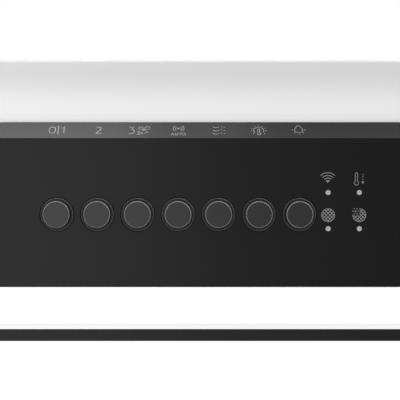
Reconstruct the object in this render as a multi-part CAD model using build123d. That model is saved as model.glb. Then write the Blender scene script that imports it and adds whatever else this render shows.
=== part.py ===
from build123d import *
import math
import os

# Sizes are in millimetres. The front faces -Y and +Z is up.
# The origin is the middle of the four fixing holes, on the top face.

# Overall sizes
WIDTH = 598.0
DEPTH = 460.0
SHEET = 1.2
CASING_RISE = 32.1
CHAMFER = 8.8
FACE_HEIGHT = 74.4
GAP_HEIGHT = 21.0
GLASS_THICK = 6.0

# Fixing holes in the top and in the back
FIXING_SPAN_X = 480.0
FIXING_SPAN_Y = 200.0
FIXING_RADIUS = 3.25
WALL_TO_FIXINGS = 80.0
WALL_HOLE_SPAN = 400.0
WALL_HOLE_RADIUS = 3.0
WALL_HOLE_DROP = 34.0

# Clearances
SEAM = 0.3
LOOSE = 0.5
RUNNING = 0.05
SLIDING = 0.15

# Levels and limits that follow from the sizes above
HALF_WIDTH = WIDTH / 2
BACK_Y = FIXING_SPAN_Y / 2 + WALL_TO_FIXINGS
FRONT_Y = BACK_Y - DEPTH
BAND_TOP_Z = -CASING_RISE
FACE_TOP_Z = BAND_TOP_Z - CHAMFER
BAND_BOTTOM_Z = FACE_TOP_Z - FACE_HEIGHT
GLASS_TOP_Z = BAND_BOTTOM_Z - GAP_HEIGHT
BOTTOM_Z = GLASS_TOP_Z - GLASS_THICK
DECK_BOTTOM_Z = BAND_BOTTOM_Z + SHEET
DECK_TOP_Z = DECK_BOTTOM_Z + SHEET
SLANT_SHEET = SHEET * math.sqrt(2)

# Black band
FASCIA_RETURN = 26.0
FRONT_FLANGE = 18.0
SIDE_FLANGE = 12.0
BEND_ROUND = 0.6

# Upper casing
CASING_INSET = CHAMFER + SLANT_SHEET + SEAM
CASING_OVERLAP = 20.0
SKIRT_SCREW_RISE = 5.0
CASING_CORNER = 6.0
CASING_BEND = 1.5
BEAD_LENGTH = 150.0
BEAD_WIDTH = 14.0
BEAD_DEPTH = 2.5
BEAD_FROM_SIDE = 99.0
BEAD_ROWS_FROM_FRONT = (90.0, 130.0)

# Push buttons
BUTTON_NAMES = (
    "button_speed_one",
    "button_speed_two",
    "button_speed_three",
    "button_auto",
    "button_airflow",
    "button_light_tone",
    "button_lamp",
)
BUTTON_PITCH = 20.2
BUTTON_ROW_X = -10.95
BUTTON_ROW_Z = -78.95
BUTTON_TRAVEL = 1.5
CAP_RADIUS = 6.7
CAP_PROUD = 3.5
CAP_ROUND = 0.7
CAP_LENGTH = 5.5
CAP_FLANGE = 0.8
CAP_FLANGE_THICK = 1.2
STEM_RADIUS = 3.0
STEM_LENGTH = 13.8

# Bezel rings round the buttons
BEZEL_RADIUS = 8.15
BEZEL_PROUD = 0.5
BEZEL_ROUND = 0.3
BEZEL_GROOVE = 0.6
CAP_GAP = 0.3
BEZEL_CUP_WALL = 1.9

# Indicators: two columns and two rows of light pipes
PIPE_RADIUS = 1.25
PIPE_COLUMNS_X = (64.05, 79.65)
PIPE_ROWS_Z = (-67.95, -86.05)
PIPE_PROUD = 0.1
PIPE_COLLAR = 0.9
PIPE_COLLAR_THICK = 1.5
INDICATOR_SIZE = (2.4, 1.0, 1.6)

# Control stack behind the fascia
WEB_THICK = 2.5
WEB_SETBACK = 6.5
BUSH_WALL = 2.0
BUSH_LENGTH = 5.5
CARRIER_X = (-98.0, 98.0)
CARRIER_Z = (-102.0, -54.0)
STUD_RADIUS = 1.5
STUD_REACH = 13.0
STUD_INSET = 5.0
NUT_RADIUS = 3.0
NUT_THICK = 2.4
BOSS_RADIUS = 3.6
SWITCH_SIZE = 6.0
SWITCH_BODY = 1.2
SWITCH_TIP_RADIUS = 1.6
SWITCH_TIP = 0.5
PRESS_GAP = 0.1
BOARD_THICK = 1.6
BOARD_INSET = 4.0
BOARD_POST_RADIUS = 3.0
BOARD_POST_INSET = 13.0
BOARD_SCREW_RADIUS = 1.2
SCREW_HEAD_RADIUS = 2.4
SCREW_HEAD_THICK = 1.6
SLEEVE_WALL = 1.8
COVER_WALL = 1.5
COVER_DEPTH = 25.0

# Parts on the back of the control board: place along X, width, height and depth
MAIN_CHIP = (-60.0, 14.0, 14.0, 1.4)
MEMORY_CHIP = (-25.0, 8.0, 10.0, 1.8)
RADIO_MODULE = (15.0, 24.0, 16.0, 2.6)
BOARD_PLUG = (60.0, 20.0, 6.0, 7.0)

# Lamp bar in the gap
LAMP_SETBACK = 20.0
DIFFUSER_THICK = 2.0
DIFFUSER_LIP = 10.0
LAMP_DEPTH = 20.0
LAMP_CAP_THICK = 2.0
LAMP_CLEARANCE = 0.4
LAMP_BOARD_HEIGHT = 12.0
LAMP_LIGHT_COUNT = 36
LAMP_LIGHT_SIZE = (3.5, 0.8, 2.8)

# Hinged suction panel
HINGE_FROM_WALL = 30.0
HINGE_DROP = 16.5
HINGE_X = 200.0
HINGE_PIN_RADIUS = 2.0
HINGE_EYE_RADIUS = 4.0
HINGE_PLATE = 3.0
HINGE_FOOT = 22.0
GLASS_ROUND = 0.6
TRAY_INSET_X = 38.0
TRAY_FRONT_GAP = 10.0
TRAY_REAR_GAP = 24.0
TRAY_RIM = 9.0
CATCH_X = 180.0
CATCH_SIZE = (36.0, 12.0)
STRIKE_THICK = 1.5

# Grease filters and their latches
FILTER_WIDTH = 235.0
FILTER_LENGTH = 280.0
FILTER_GAP = 25.0
FILTER_Y = -20.0
FILTER_THICK = 9.0
FILTER_DROP = 3.0
FILTER_RIM = 8.0
FILTER_FRONT_RIM = 28.0
FILTER_LIP = 2.0
FILTER_LIP_THICK = 1.0
FILTER_LUG = 6.0
FILTER_LUG_WIDTH = 24.0
MESH_THICK = 0.8
MESH_PITCH = 14.0
MESH_HOLE = 8.6
MESH_MARGIN = 12.0
PLEAT_PITCH = 12.0
PLEAT_SHEET = 0.6
POCKET_WIDTH = 60.0
POCKET_LENGTH = 20.0
POCKET_WALL = 4.0
LATCH_TRAVEL = 6.0
TONGUE_WIDTH = 30.0
TONGUE_THICK = 2.0
FINGER_WIDTH = 50.0
FINGER_THICK = 2.5
FINGER_SETBACK = 11.5
FINGER_RECESS = 0.6

# Blower
FAN_X = -80.0
FAN_FROM_FRONT = 185.0
SCROLL_TOP_Z = -8.0
SCROLL_HEIGHT = 70.0
SCROLL_WALL = 2.0
SCROLL_RADIUS = 104.0
SCROLL_STEP = 14.0
TONGUE_ANGLE = 28.0
TONGUE_ANGLE_OUTSIDE = 33.0
OUTLET_LEFT = 97.0
INLET_RADIUS = 62.0
INLET_WALL = 2.0
INLET_FLANGE = 16.0
INLET_REACH = 8.0
WHEEL_RADIUS = 85.0
WHEEL_EYE_RADIUS = 66.0
WHEEL_PLATE = 2.0
WHEEL_HEIGHT = 50.0
WHEEL_DROP = 10.0
BLADE_COUNT = 36
BLADE_THICK = 1.2
BLADE_LEAD = 9.0
BLADE_BULGE = 2.5
HUB_RADIUS = 44.0
HUB_WALL = 2.0
HUB_DEPTH = 40.0
HUB_BOSS_RADIUS = 9.0
HUB_BOSS_LENGTH = 5.0
CORE_RADIUS = 39.0
CORE_FLANGE_RADIUS = 50.0
CORE_FLANGE_THICK = 4.0
CORE_LENGTH = 36.0
CORE_SLOTS = 9
CORE_SLOT_WIDTH = 5.0
CORE_SLOT_DEPTH = 14.0
SHAFT_RADIUS = 4.0
BEARING_RADIUS = 11.0
BEARING_WIDTH = 7.0
MOUNT_RADIUS = 7.0
MOUNT_CIRCLE = 92.0
MOUNT_ANGLES = (100, 190, 280, 340)
MOUNT_SCREW_RADIUS = 2.0
MOUNT_SCREW_HEAD = 4.0
CARBON_RADIUS = 92.0
CARBON_HEIGHT = 24.0
CARBON_CELLS = 12
CARBON_RIM = 6.0
CARBON_HUB_RADIUS = 18.0
CARBON_CELL_DEPTH = 4.0
CARBON_RIB_ANGLE = 6.0

# Outlet
COLLAR_X = 0.0
COLLAR_FROM_WALL = 85.0
COLLAR_RADIUS = 62.0
COLLAR_BORE = 58.5
COLLAR_HEIGHT = 34.0
COLLAR_NECK = 1.0
COLLAR_DEPTH = 40.0
COLLAR_LOWER_RADIUS = 61.0
COLLAR_FLANGE_RADIUS = 72.0
COLLAR_FLANGE_THICK = 2.5
COLLAR_CHAMFER = 1.0
COLLAR_SCREW_CIRCLE = 67.0
COLLAR_SCREW_ANGLES = (45, 135, 225, 315)
COLLAR_SCREW_RADIUS = 2.0
COLLAR_SCREW_HEAD = 3.6
LEDGE_WIDTH = 3.5
LEDGE_THICK = 2.5
FLAP_DROP = 24.0
FLAP_THICK = 1.5
FLAP_EDGE_GAP = 1.5
AXLE_RADIUS = 2.0
KNUCKLE_WALL = 1.6
KNUCKLE_SPLITS = (15.0, 35.0, 52.0)
ELBOW_HALF_WIDTH = 78.0
ELBOW_HALF_LENGTH = 75.0
ELBOW_BOTTOM_Z = -84.0
ELBOW_WALL = 2.0

# Power box and cable gland
POWER_LEFT_X = 112.0
POWER_FROM_SIDE = 37.0
POWER_Y = (-110.0, 40.0)
POWER_DEPTH = 48.0
POWER_WALL = 2.0
POWER_POST_RADIUS = 3.5
POWER_POST_LENGTH = 14.0
POWER_POST_INSET = 12.0
GLAND_X = 200.0
GLAND_Y = 130.0
GLAND_BORE = 4.2
GLAND_THREAD_RADIUS = 8.0
GLAND_NUT_RADIUS = 11.0
GLAND_HEIGHT = 18.0
GLAND_DEPTH = 12.0
GLAND_NUT_THICK = 4.0
GLAND_CHAMFER = 1.0

# Parts on the power board: place as shares of the board's half sizes, then width, length and height
TRANSFORMER = (-0.53, -0.40, 44.0, 38.0, 24.0)
LIGHT_RELAY = (0.40, -0.50, 28.0, 14.0, 18.0)
FAN_RELAY = (0.40, -0.16, 28.0, 14.0, 18.0)
TERMINALS = (0.00, 0.69, 70.0, 14.0, 15.0)
CAPACITOR_PLACE = (0.48, 0.29)
CAPACITOR_RADIUS = 11.0
CAPACITOR_LENGTH = 26.0

# Casing and deck screws
DECK_SCREW_RADIUS = 2.0
DECK_SCREW_HEAD = 4.0
DECK_SCREW_HEAD_THICK = 2.2
DECK_SCREW_LENGTH = 6.0
DECK_SCREW_FROM_FRONT = 80.0
DECK_SCREW_MIDDLE_Y = 20.0
CASING_SCREW_FROM_FRONT = 60.0
CASING_SCREW_MIDDLE_Y = -20.0
SCREW_FROM_WALL = 40.0

# Places used by more than one piece
FIRST_BUTTON_X = BUTTON_ROW_X - BUTTON_PITCH * (len(BUTTON_NAMES) - 1) / 2
BUTTONS_X = [FIRST_BUTTON_X + BUTTON_PITCH * place for place in range(len(BUTTON_NAMES))]
PIPES = [(x, z) for x in PIPE_COLUMNS_X for z in PIPE_ROWS_Z]
CAP_FRONT_Y = FRONT_Y - CAP_PROUD
CAP_BACK_Y = CAP_FRONT_Y + CAP_LENGTH
FLANGE_BACK_Y = CAP_BACK_Y + CAP_FLANGE_THICK
STEM_END_Y = FLANGE_BACK_Y + STEM_LENGTH
WEB_FRONT_Y = FRONT_Y + WEB_SETBACK
WEB_BACK_Y = WEB_FRONT_Y + WEB_THICK
BUSH_END_Y = WEB_BACK_Y + BUSH_LENGTH
SWITCH_TIP_Y = STEM_END_Y + BUTTON_TRAVEL + PRESS_GAP
BOARD_FRONT_Y = SWITCH_TIP_Y + SWITCH_TIP + SWITCH_BODY
BOARD_BACK_Y = BOARD_FRONT_Y + BOARD_THICK
CUP_RADIUS = CAP_RADIUS + CAP_FLANGE + CAP_GAP
FASCIA_BACK_Y = FRONT_Y + SHEET
CUP_FRONT_Y = FASCIA_BACK_Y + SEAM
DIFFUSER_FRONT_Y = FRONT_Y + LAMP_SETBACK
DIFFUSER_BACK_Y = DIFFUSER_FRONT_Y + DIFFUSER_THICK
DIFFUSER_LIP_Y = DIFFUSER_FRONT_Y + DIFFUSER_LIP
LAMP_BACK_Y = DIFFUSER_FRONT_Y + LAMP_DEPTH
LAMP_BOTTOM_Z = GLASS_TOP_Z + LAMP_CLEARANCE
LAMP_HALF_LENGTH = HALF_WIDTH - SIDE_FLANGE - LAMP_CAP_THICK - SEAM
HINGE_Y = BACK_Y - HINGE_FROM_WALL
HINGE_Z = BAND_BOTTOM_Z - HINGE_DROP
COLLAR_Y = BACK_Y - COLLAR_FROM_WALL
FAN_Y = FRONT_Y + FAN_FROM_FRONT
OUTLET_REACH = COLLAR_Y - ELBOW_HALF_LENGTH - FAN_Y
OUTLET_RIGHT = SCROLL_RADIUS + SCROLL_STEP / 2 + 3 * SCROLL_STEP
SCROLL_BOTTOM_Z = SCROLL_TOP_Z - SCROLL_HEIGHT
SCROLL_SPLIT_Z = SCROLL_TOP_Z - SCROLL_HEIGHT / 2
SCROLL_CEILING_Z = SCROLL_TOP_Z - SCROLL_WALL
WHEEL_TOP_Z = SCROLL_CEILING_Z - WHEEL_DROP
WHEEL_BOTTOM_Z = WHEEL_TOP_Z - WHEEL_HEIGHT
CORE_BOTTOM_Z = SCROLL_CEILING_Z - CORE_FLANGE_THICK - CORE_LENGTH
HUB_BOTTOM_Z = WHEEL_TOP_Z - HUB_DEPTH
COLLAR_FLANGE_TOP_Z = -SHEET
ELBOW_TOP_Z = COLLAR_FLANGE_TOP_Z - COLLAR_FLANGE_THICK
FLAP_Z = -FLAP_DROP
FILTER_X = (FILTER_GAP + FILTER_WIDTH) / 2
FILTER_BOTTOM_Z = DECK_BOTTOM_Z - FILTER_DROP
FILTER_TOP_Z = FILTER_BOTTOM_Z + FILTER_THICK
FILTER_FRONT_Y = FILTER_Y - FILTER_LENGTH / 2
FILTER_REAR_Y = FILTER_Y + FILTER_LENGTH / 2
TONGUE_BOTTOM_Z = DECK_TOP_Z + SLIDING
TONGUE_TOP_Z = TONGUE_BOTTOM_Z + TONGUE_THICK
TRAY_FRONT_Y = LAMP_BACK_Y + TRAY_FRONT_GAP
TRAY_REAR_Y = HINGE_Y - TRAY_REAR_GAP
TRAY_HALF_WIDTH = HALF_WIDTH - TRAY_INSET_X
TRAY_TOP_Z = GLASS_TOP_Z + TRAY_RIM
BEAD_X = HALF_WIDTH - BEAD_FROM_SIDE
BEAD_ROWS_Y = [FRONT_Y + distance for distance in BEAD_ROWS_FROM_FRONT]
POWER_X = (POWER_LEFT_X, HALF_WIDTH - POWER_FROM_SIDE)
DECK_SCREWS_Y = (FRONT_Y + DECK_SCREW_FROM_FRONT, DECK_SCREW_MIDDLE_Y, BACK_Y - SCREW_FROM_WALL)
CASING_SCREWS_Y = (FRONT_Y + CASING_SCREW_FROM_FRONT, CASING_SCREW_MIDDLE_Y, BACK_Y - SCREW_FROM_WALL)
QUARTER_TURN = 90
SAME_WITHIN = 0.01


# Helpers
def block(x_range, y_range, z_range):
    """A box between three pairs of limits."""
    limits = (x_range, y_range, z_range)
    middle = [(low + high) / 2 for low, high in limits]
    size = [high - low for low, high in limits]
    return Pos(*middle) * Box(*size)


def rod_x(x_range, y, z, radius):
    """A round bar along X."""
    return Pos(sum(x_range) / 2, y, z) * Rot(0, 90, 0) * Cylinder(radius, x_range[1] - x_range[0])


def rod_y(x, y_range, z, radius):
    """A round bar along Y."""
    return Pos(x, sum(y_range) / 2, z) * Rot(90, 0, 0) * Cylinder(radius, y_range[1] - y_range[0])


def rod_z(x, y, z_range, radius):
    """A round bar along Z."""
    return Pos(x, y, sum(z_range) / 2) * Cylinder(radius, z_range[1] - z_range[0])


def group(shapes):
    """Separate solids kept together as one piece."""
    return Compound([solid for shape in shapes for solid in shape.solids()])


def edges_where(shape, test):
    """The edges whose middle point passes the test."""
    return [edge for edge in shape.edges() if test(edge.center())]


def near(value, target):
    """Whether two sizes agree to a hundredth of a millimetre."""
    return abs(value - target) < SAME_WITHIN


def polar(radius, angle):
    """A point on a circle, by its angle in degrees."""
    return (radius * math.cos(math.radians(angle)), radius * math.sin(math.radians(angle)))


def places_on_circle(x, y, radius, angles):
    """Points on a circle round a middle point."""
    return [(x + polar(radius, angle)[0], y + polar(radius, angle)[1]) for angle in angles]


# Black band: front fascia and canopy frame
def band_block(inset, bottom_z, chamfer_size):
    """The solid under the band's outside or inside skin, chamfered at the top of the front and the sides."""
    half = HALF_WIDTH - inset
    front = FRONT_Y + inset
    solid = block((-half, half), (front, BACK_Y - inset), (bottom_z, BAND_TOP_Z))
    rims = edges_where(
        solid,
        lambda at: near(at.Z, BAND_TOP_Z) and (near(at.Y, front) or near(abs(at.X), half)),
    )
    return chamfer(rims, chamfer_size)


def canopy_band():
    """The whole band: four walls with a flange turned in along the bottom."""
    outside = band_block(0, BAND_BOTTOM_Z, CHAMFER)
    bends = edges_where(
        outside,
        lambda at: near(at.Y, FRONT_Y) and (near(at.Z, BAND_BOTTOM_Z) or near(at.Z, FACE_TOP_Z)),
    )
    outside = fillet(bends, BEND_ROUND)
    inside = band_block(SHEET, DECK_BOTTOM_Z, CHAMFER + SLANT_SHEET - SHEET)
    opening_half = HALF_WIDTH - SIDE_FLANGE
    opening = block(
        (-opening_half, opening_half),
        (FRONT_Y + FRONT_FLANGE, BACK_Y - SIDE_FLANGE),
        (BAND_BOTTOM_Z, DECK_BOTTOM_Z),
    )
    return outside - inside - opening


def stud_places():
    """Where the four studs stand that hold the button carrier."""
    return [
        (x, z)
        for x in (CARRIER_X[0] + STUD_INSET, CARRIER_X[1] - STUD_INSET)
        for z in (CARRIER_Z[0] + STUD_INSET, CARRIER_Z[1] - STUD_INSET)
    ]


def front_fascia(band):
    """The front of the band with its short side returns, its holes and its studs."""
    reach = (FRONT_Y, FRONT_Y + FASCIA_RETURN)
    piece = band & block((-HALF_WIDTH, HALF_WIDTH), reach, (BAND_BOTTOM_Z, BAND_TOP_Z))
    through = (FRONT_Y, FASCIA_BACK_Y)
    for x in BUTTONS_X:
        piece -= rod_y(x, through, BUTTON_ROW_Z, BEZEL_RADIUS + BEZEL_GROOVE)
    for x, z in PIPES:
        piece -= rod_y(x, through, z, PIPE_RADIUS + RUNNING)
    for x, z in stud_places():
        piece += rod_y(x, (FASCIA_BACK_Y, FRONT_Y + STUD_REACH), z, STUD_RADIUS)
    return piece


def skirt_screw_places():
    """Where the casing is screwed to the frame: the side and the place along it."""
    return [(side, y) for side in (-1, 1) for y in CASING_SCREWS_Y]


def canopy_frame(band):
    """The sides and the back of the band, with the wall holes and the holes for the deck screws."""
    reach = (FRONT_Y + FASCIA_RETURN + SEAM, BACK_Y)
    piece = band & block((-HALF_WIDTH, HALF_WIDTH), reach, (BAND_BOTTOM_Z, BAND_TOP_Z))
    for side in (-1, 1):
        hole_x = side * WALL_HOLE_SPAN / 2
        piece -= rod_y(hole_x, (BACK_Y - SHEET, BACK_Y), BAND_TOP_Z - WALL_HOLE_DROP, WALL_HOLE_RADIUS)
    for x, y in deck_screw_places():
        piece -= rod_z(x, y, (BAND_BOTTOM_Z, DECK_BOTTOM_Z), DECK_SCREW_RADIUS + RUNNING)
    return piece


# Upper casing
def casing_shell_block(inset, bottom_z, top_z):
    """The solid under the casing's outside or inside skin, with its rounded bends."""
    half = HALF_WIDTH - CASING_INSET - inset
    solid = block(
        (-half, half),
        (FRONT_Y + CASING_INSET + inset, BACK_Y - SHEET - SEAM - inset),
        (bottom_z, top_z),
    )
    solid = fillet(solid.edges().filter_by(Axis.Z), CASING_CORNER - inset)
    rims = edges_where(solid, lambda at: near(at.Z, top_z))
    return fillet(rims, CASING_BEND - inset)


def bead_places():
    """Where the stiffening beads are pressed into the top."""
    return [(side * BEAD_X, y) for side in (-1, 1) for y in BEAD_ROWS_Y]


def bead(x, y, shrink, z_range):
    """One long rounded bead."""
    outline = SlotOverall(BEAD_LENGTH - 2 * shrink, BEAD_WIDTH - 2 * shrink)
    return Pos(x, y, z_range[0]) * extrude(outline, z_range[1] - z_range[0])


def upper_casing():
    """The pale casing: a tray turned over, with fixing holes, beads and the outlet hole in its top."""
    skirt_z = BAND_TOP_Z - CASING_OVERLAP
    shell = casing_shell_block(0, skirt_z, 0) - casing_shell_block(SHEET, skirt_z, -SHEET)
    for x, y in bead_places():
        shell += bead(x, y, 0, (-BEAD_DEPTH - SHEET, -SHEET))
        shell -= bead(x, y, SHEET, (-BEAD_DEPTH, 0))
    top = (-SHEET, 0)
    for side_x in (-1, 1):
        for side_y in (-1, 1):
            shell -= rod_z(side_x * FIXING_SPAN_X / 2, side_y * FIXING_SPAN_Y / 2, top, FIXING_RADIUS)
    shell -= rod_z(COLLAR_X, COLLAR_Y, top, COLLAR_RADIUS + SEAM)
    shell -= rod_z(GLAND_X, GLAND_Y, top, GLAND_THREAD_RADIUS + SEAM)
    for x, y in collar_screw_places():
        shell -= rod_z(x, y, top, COLLAR_SCREW_RADIUS + RUNNING)
    for x, y in mount_places():
        shell -= rod_z(x, y, top, MOUNT_SCREW_RADIUS + RUNNING)
    for side, y in skirt_screw_places():
        wall_x = side * (HALF_WIDTH - CASING_INSET - SHEET / 2)
        reach = (wall_x - SHEET, wall_x + SHEET)
        shell -= rod_x(reach, y, skirt_z + SKIRT_SCREW_RISE, DECK_SCREW_RADIUS + RUNNING)
    return shell


def skirt_screws():
    """Screws from inside that hold the casing's skirt to the frame."""
    pieces = []
    z = BAND_TOP_Z - CASING_OVERLAP + SKIRT_SCREW_RISE
    for side, y in skirt_screw_places():
        skirt_inside = HALF_WIDTH - CASING_INSET - SHEET
        frame_inside = HALF_WIDTH - SHEET - SEAM
        span = sorted((side * skirt_inside, side * frame_inside))
        head = sorted((side * skirt_inside, side * (skirt_inside - DECK_SCREW_HEAD_THICK)))
        pieces.append(rod_x(span, y, z, DECK_SCREW_RADIUS) + rod_x(head, y, z, DECK_SCREW_HEAD))
    return pieces


# Filter deck and its screws
def deck_screw_places():
    """Where the deck is screwed down to the frame's flanges."""
    return [(side * (HALF_WIDTH - SIDE_FLANGE / 2), y) for side in (-1, 1) for y in DECK_SCREWS_Y]


def filter_deck():
    """The flat deck on the flanges, with an opening for each grease filter."""
    half = HALF_WIDTH - SHEET - SEAM
    level = (DECK_BOTTOM_Z, DECK_TOP_Z)
    deck = block((-half, half), (FASCIA_BACK_Y + SEAM, BACK_Y - SHEET - SEAM), level)
    for side in (-1, 1):
        reach_x = FILTER_WIDTH / 2 + LOOSE
        middle = side * FILTER_X
        reach_y = (FILTER_FRONT_Y - LOOSE, FILTER_REAR_Y + LOOSE)
        deck -= block((middle - reach_x, middle + reach_x), reach_y, level)
    for x, y in deck_screw_places():
        deck -= rod_z(x, y, level, DECK_SCREW_RADIUS + RUNNING)
    return deck


def deck_screws():
    """Pan head screws up through the flanges into the deck."""
    pieces = []
    for x, y in deck_screw_places():
        shank = rod_z(x, y, (BAND_BOTTOM_Z, BAND_BOTTOM_Z + DECK_SCREW_LENGTH), DECK_SCREW_RADIUS)
        head = rod_z(x, y, (BAND_BOTTOM_Z - DECK_SCREW_HEAD_THICK, BAND_BOTTOM_Z), DECK_SCREW_HEAD)
        pieces.append(shank + head)
    return pieces


# Buttons, bezels and the control stack
def button(x):
    """One push button: cap, trapped flange and guide stem."""
    cap = rod_y(x, (CAP_FRONT_Y, CAP_BACK_Y), BUTTON_ROW_Z, CAP_RADIUS)
    cap = fillet(edges_where(cap, lambda at: near(at.Y, CAP_FRONT_Y)), CAP_ROUND)
    flange = rod_y(x, (CAP_BACK_Y, FLANGE_BACK_Y), BUTTON_ROW_Z, CAP_RADIUS + CAP_FLANGE)
    stem = rod_y(x, (FLANGE_BACK_Y, STEM_END_Y), BUTTON_ROW_Z, STEM_RADIUS)
    return cap + flange + stem


def bezel(x):
    """One ring round a button, widened behind the fascia into a cup that traps the button's flange."""
    front = FRONT_Y - BEZEL_PROUD
    lip_back = CAP_BACK_Y - SEAM
    ring = rod_y(x, (front, CUP_FRONT_Y), BUTTON_ROW_Z, BEZEL_RADIUS)
    ring = fillet(edges_where(ring, lambda at: near(at.Y, front)), BEZEL_ROUND)
    ring += rod_y(x, (CUP_FRONT_Y, WEB_FRONT_Y), BUTTON_ROW_Z, CUP_RADIUS + BEZEL_CUP_WALL)
    ring -= rod_y(x, (front, WEB_FRONT_Y), BUTTON_ROW_Z, CAP_RADIUS + CAP_GAP)
    return ring - rod_y(x, (lip_back, WEB_FRONT_Y), BUTTON_ROW_Z, CUP_RADIUS)


def return_sleeve(x):
    """One silicone sleeve that pushes a button back out."""
    reach = (FLANGE_BACK_Y, WEB_FRONT_Y)
    bore = STEM_RADIUS + SEAM
    return rod_y(x, reach, BUTTON_ROW_Z, bore + SLEEVE_WALL) - rod_y(x, reach, BUTTON_ROW_Z, bore)


def board_post_places():
    """Where the control board is screwed to the carrier."""
    return [
        (x, z)
        for x in (CARRIER_X[0] + BOARD_POST_INSET, CARRIER_X[1] - BOARD_POST_INSET)
        for z in (CARRIER_Z[0] + BOARD_POST_INSET / 2, CARRIER_Z[1] - BOARD_POST_INSET / 2)
    ]


def button_carrier():
    """The moulded web behind the fascia, with a guide bush for each button and posts for the board."""
    web = block(CARRIER_X, (WEB_FRONT_Y, WEB_BACK_Y), CARRIER_Z)
    for x, z in stud_places():
        web += rod_y(x, (FASCIA_BACK_Y, WEB_FRONT_Y), z, BOSS_RADIUS)
        web -= rod_y(x, (FASCIA_BACK_Y, WEB_BACK_Y), z, STUD_RADIUS + SLIDING)
    for x, z in board_post_places():
        web += rod_y(x, (WEB_BACK_Y, BOARD_FRONT_Y), z, BOARD_POST_RADIUS)
        web -= rod_y(x, (WEB_BACK_Y, BOARD_FRONT_Y), z, BOARD_SCREW_RADIUS + RUNNING)
    for x in BUTTONS_X:
        web += rod_y(x, (WEB_BACK_Y, BUSH_END_Y), BUTTON_ROW_Z, STEM_RADIUS + BUSH_WALL)
        web -= rod_y(x, (WEB_FRONT_Y, BUSH_END_Y), BUTTON_ROW_Z, STEM_RADIUS + RUNNING)
    for x, z in PIPES:
        web -= rod_y(x, (WEB_FRONT_Y, WEB_BACK_Y), z, PIPE_RADIUS + RUNNING)
    return web


def light_pipe(x, z):
    """One clear pipe from an indicator light to the fascia, with a collar on the carrier's web."""
    front = FRONT_Y - PIPE_PROUD
    back = BOARD_FRONT_Y - INDICATOR_SIZE[1] - SEAM
    pipe = rod_y(x, (front, back), z, PIPE_RADIUS)
    return pipe + rod_y(x, (WEB_FRONT_Y - PIPE_COLLAR_THICK, WEB_FRONT_Y), z, PIPE_RADIUS + PIPE_COLLAR)


def indicator_light(x, z):
    """One small indicator light on the control board."""
    half_x = INDICATOR_SIZE[0] / 2
    half_z = INDICATOR_SIZE[2] / 2
    reach = (BOARD_FRONT_Y - INDICATOR_SIZE[1], BOARD_FRONT_Y)
    return block((x - half_x, x + half_x), reach, (z - half_z, z + half_z))


def key_switch(x):
    """One key switch on the control board."""
    half = SWITCH_SIZE / 2
    body_front = BOARD_FRONT_Y - SWITCH_BODY
    level = (BUTTON_ROW_Z - half, BUTTON_ROW_Z + half)
    body = block((x - half, x + half), (body_front, BOARD_FRONT_Y), level)
    return body + rod_y(x, (SWITCH_TIP_Y, body_front), BUTTON_ROW_Z, SWITCH_TIP_RADIUS)


def control_board():
    """The control board, screwed to the carrier's posts."""
    board = block(
        (CARRIER_X[0] + BOARD_INSET, CARRIER_X[1] - BOARD_INSET),
        (BOARD_FRONT_Y, BOARD_BACK_Y),
        (CARRIER_Z[0] + BOARD_INSET, CARRIER_Z[1] - BOARD_INSET),
    )
    for x, z in board_post_places():
        board -= rod_y(x, (BOARD_FRONT_Y, BOARD_BACK_Y), z, BOARD_SCREW_RADIUS + RUNNING)
    return board


def board_parts():
    """The indicator lights on the control board, and the chips, radio module and plug on its back."""
    middle_z = sum(CARRIER_Z) / 2
    pieces = [indicator_light(x, z) for x, z in PIPES]
    for x, width, height, depth in (MAIN_CHIP, MEMORY_CHIP, RADIO_MODULE, BOARD_PLUG):
        pieces.append(
            block(
                (x - width / 2, x + width / 2),
                (BOARD_BACK_Y, BOARD_BACK_Y + depth),
                (middle_z - height / 2, middle_z + height / 2),
            )
        )
    return group(pieces)


def control_cover():
    """The cover that closes the control stack from behind."""
    outside = block(CARRIER_X, (WEB_BACK_Y, WEB_BACK_Y + COVER_DEPTH), CARRIER_Z)
    inside = block(
        (CARRIER_X[0] + COVER_WALL, CARRIER_X[1] - COVER_WALL),
        (WEB_BACK_Y, WEB_BACK_Y + COVER_DEPTH - COVER_WALL),
        (CARRIER_Z[0] + COVER_WALL, CARRIER_Z[1] - COVER_WALL),
    )
    return outside - inside


def control_fasteners():
    """Nuts on the fascia's studs and screws through the control board."""
    pieces = []
    for x, z in stud_places():
        nut = extrude(RegularPolygon(NUT_RADIUS, 6), NUT_THICK)
        hole = Cylinder(STUD_RADIUS + RUNNING, 2 * NUT_THICK)
        stand = Pos(x, WEB_BACK_Y + NUT_THICK, z) * Rot(90, 0, 0)
        pieces.append(stand * (nut - Pos(0, 0, NUT_THICK) * hole))
    for x, z in board_post_places():
        shank = rod_y(x, (WEB_BACK_Y + WEB_THICK, BOARD_BACK_Y), z, BOARD_SCREW_RADIUS)
        head = rod_y(x, (BOARD_BACK_Y, BOARD_BACK_Y + SCREW_HEAD_THICK), z, SCREW_HEAD_RADIUS)
        pieces.append(shank + head)
    return group(pieces)


# Lamp bar
def lamp_channel():
    """The aluminium channel under the deck, open to the front."""
    reach = (-LAMP_HALF_LENGTH, LAMP_HALF_LENGTH)
    front = FRONT_Y + FRONT_FLANGE + SEAM
    floor = LAMP_BOTTOM_Z + SHEET
    outside = block(reach, (front, LAMP_BACK_Y), (LAMP_BOTTOM_Z, DECK_BOTTOM_Z))
    inside = block(reach, (front, LAMP_BACK_Y - SHEET), (floor, DECK_BOTTOM_Z - SHEET))
    foot = block(reach, (front, DIFFUSER_LIP_Y), (LAMP_BOTTOM_Z, floor))
    return outside - inside - foot


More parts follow.
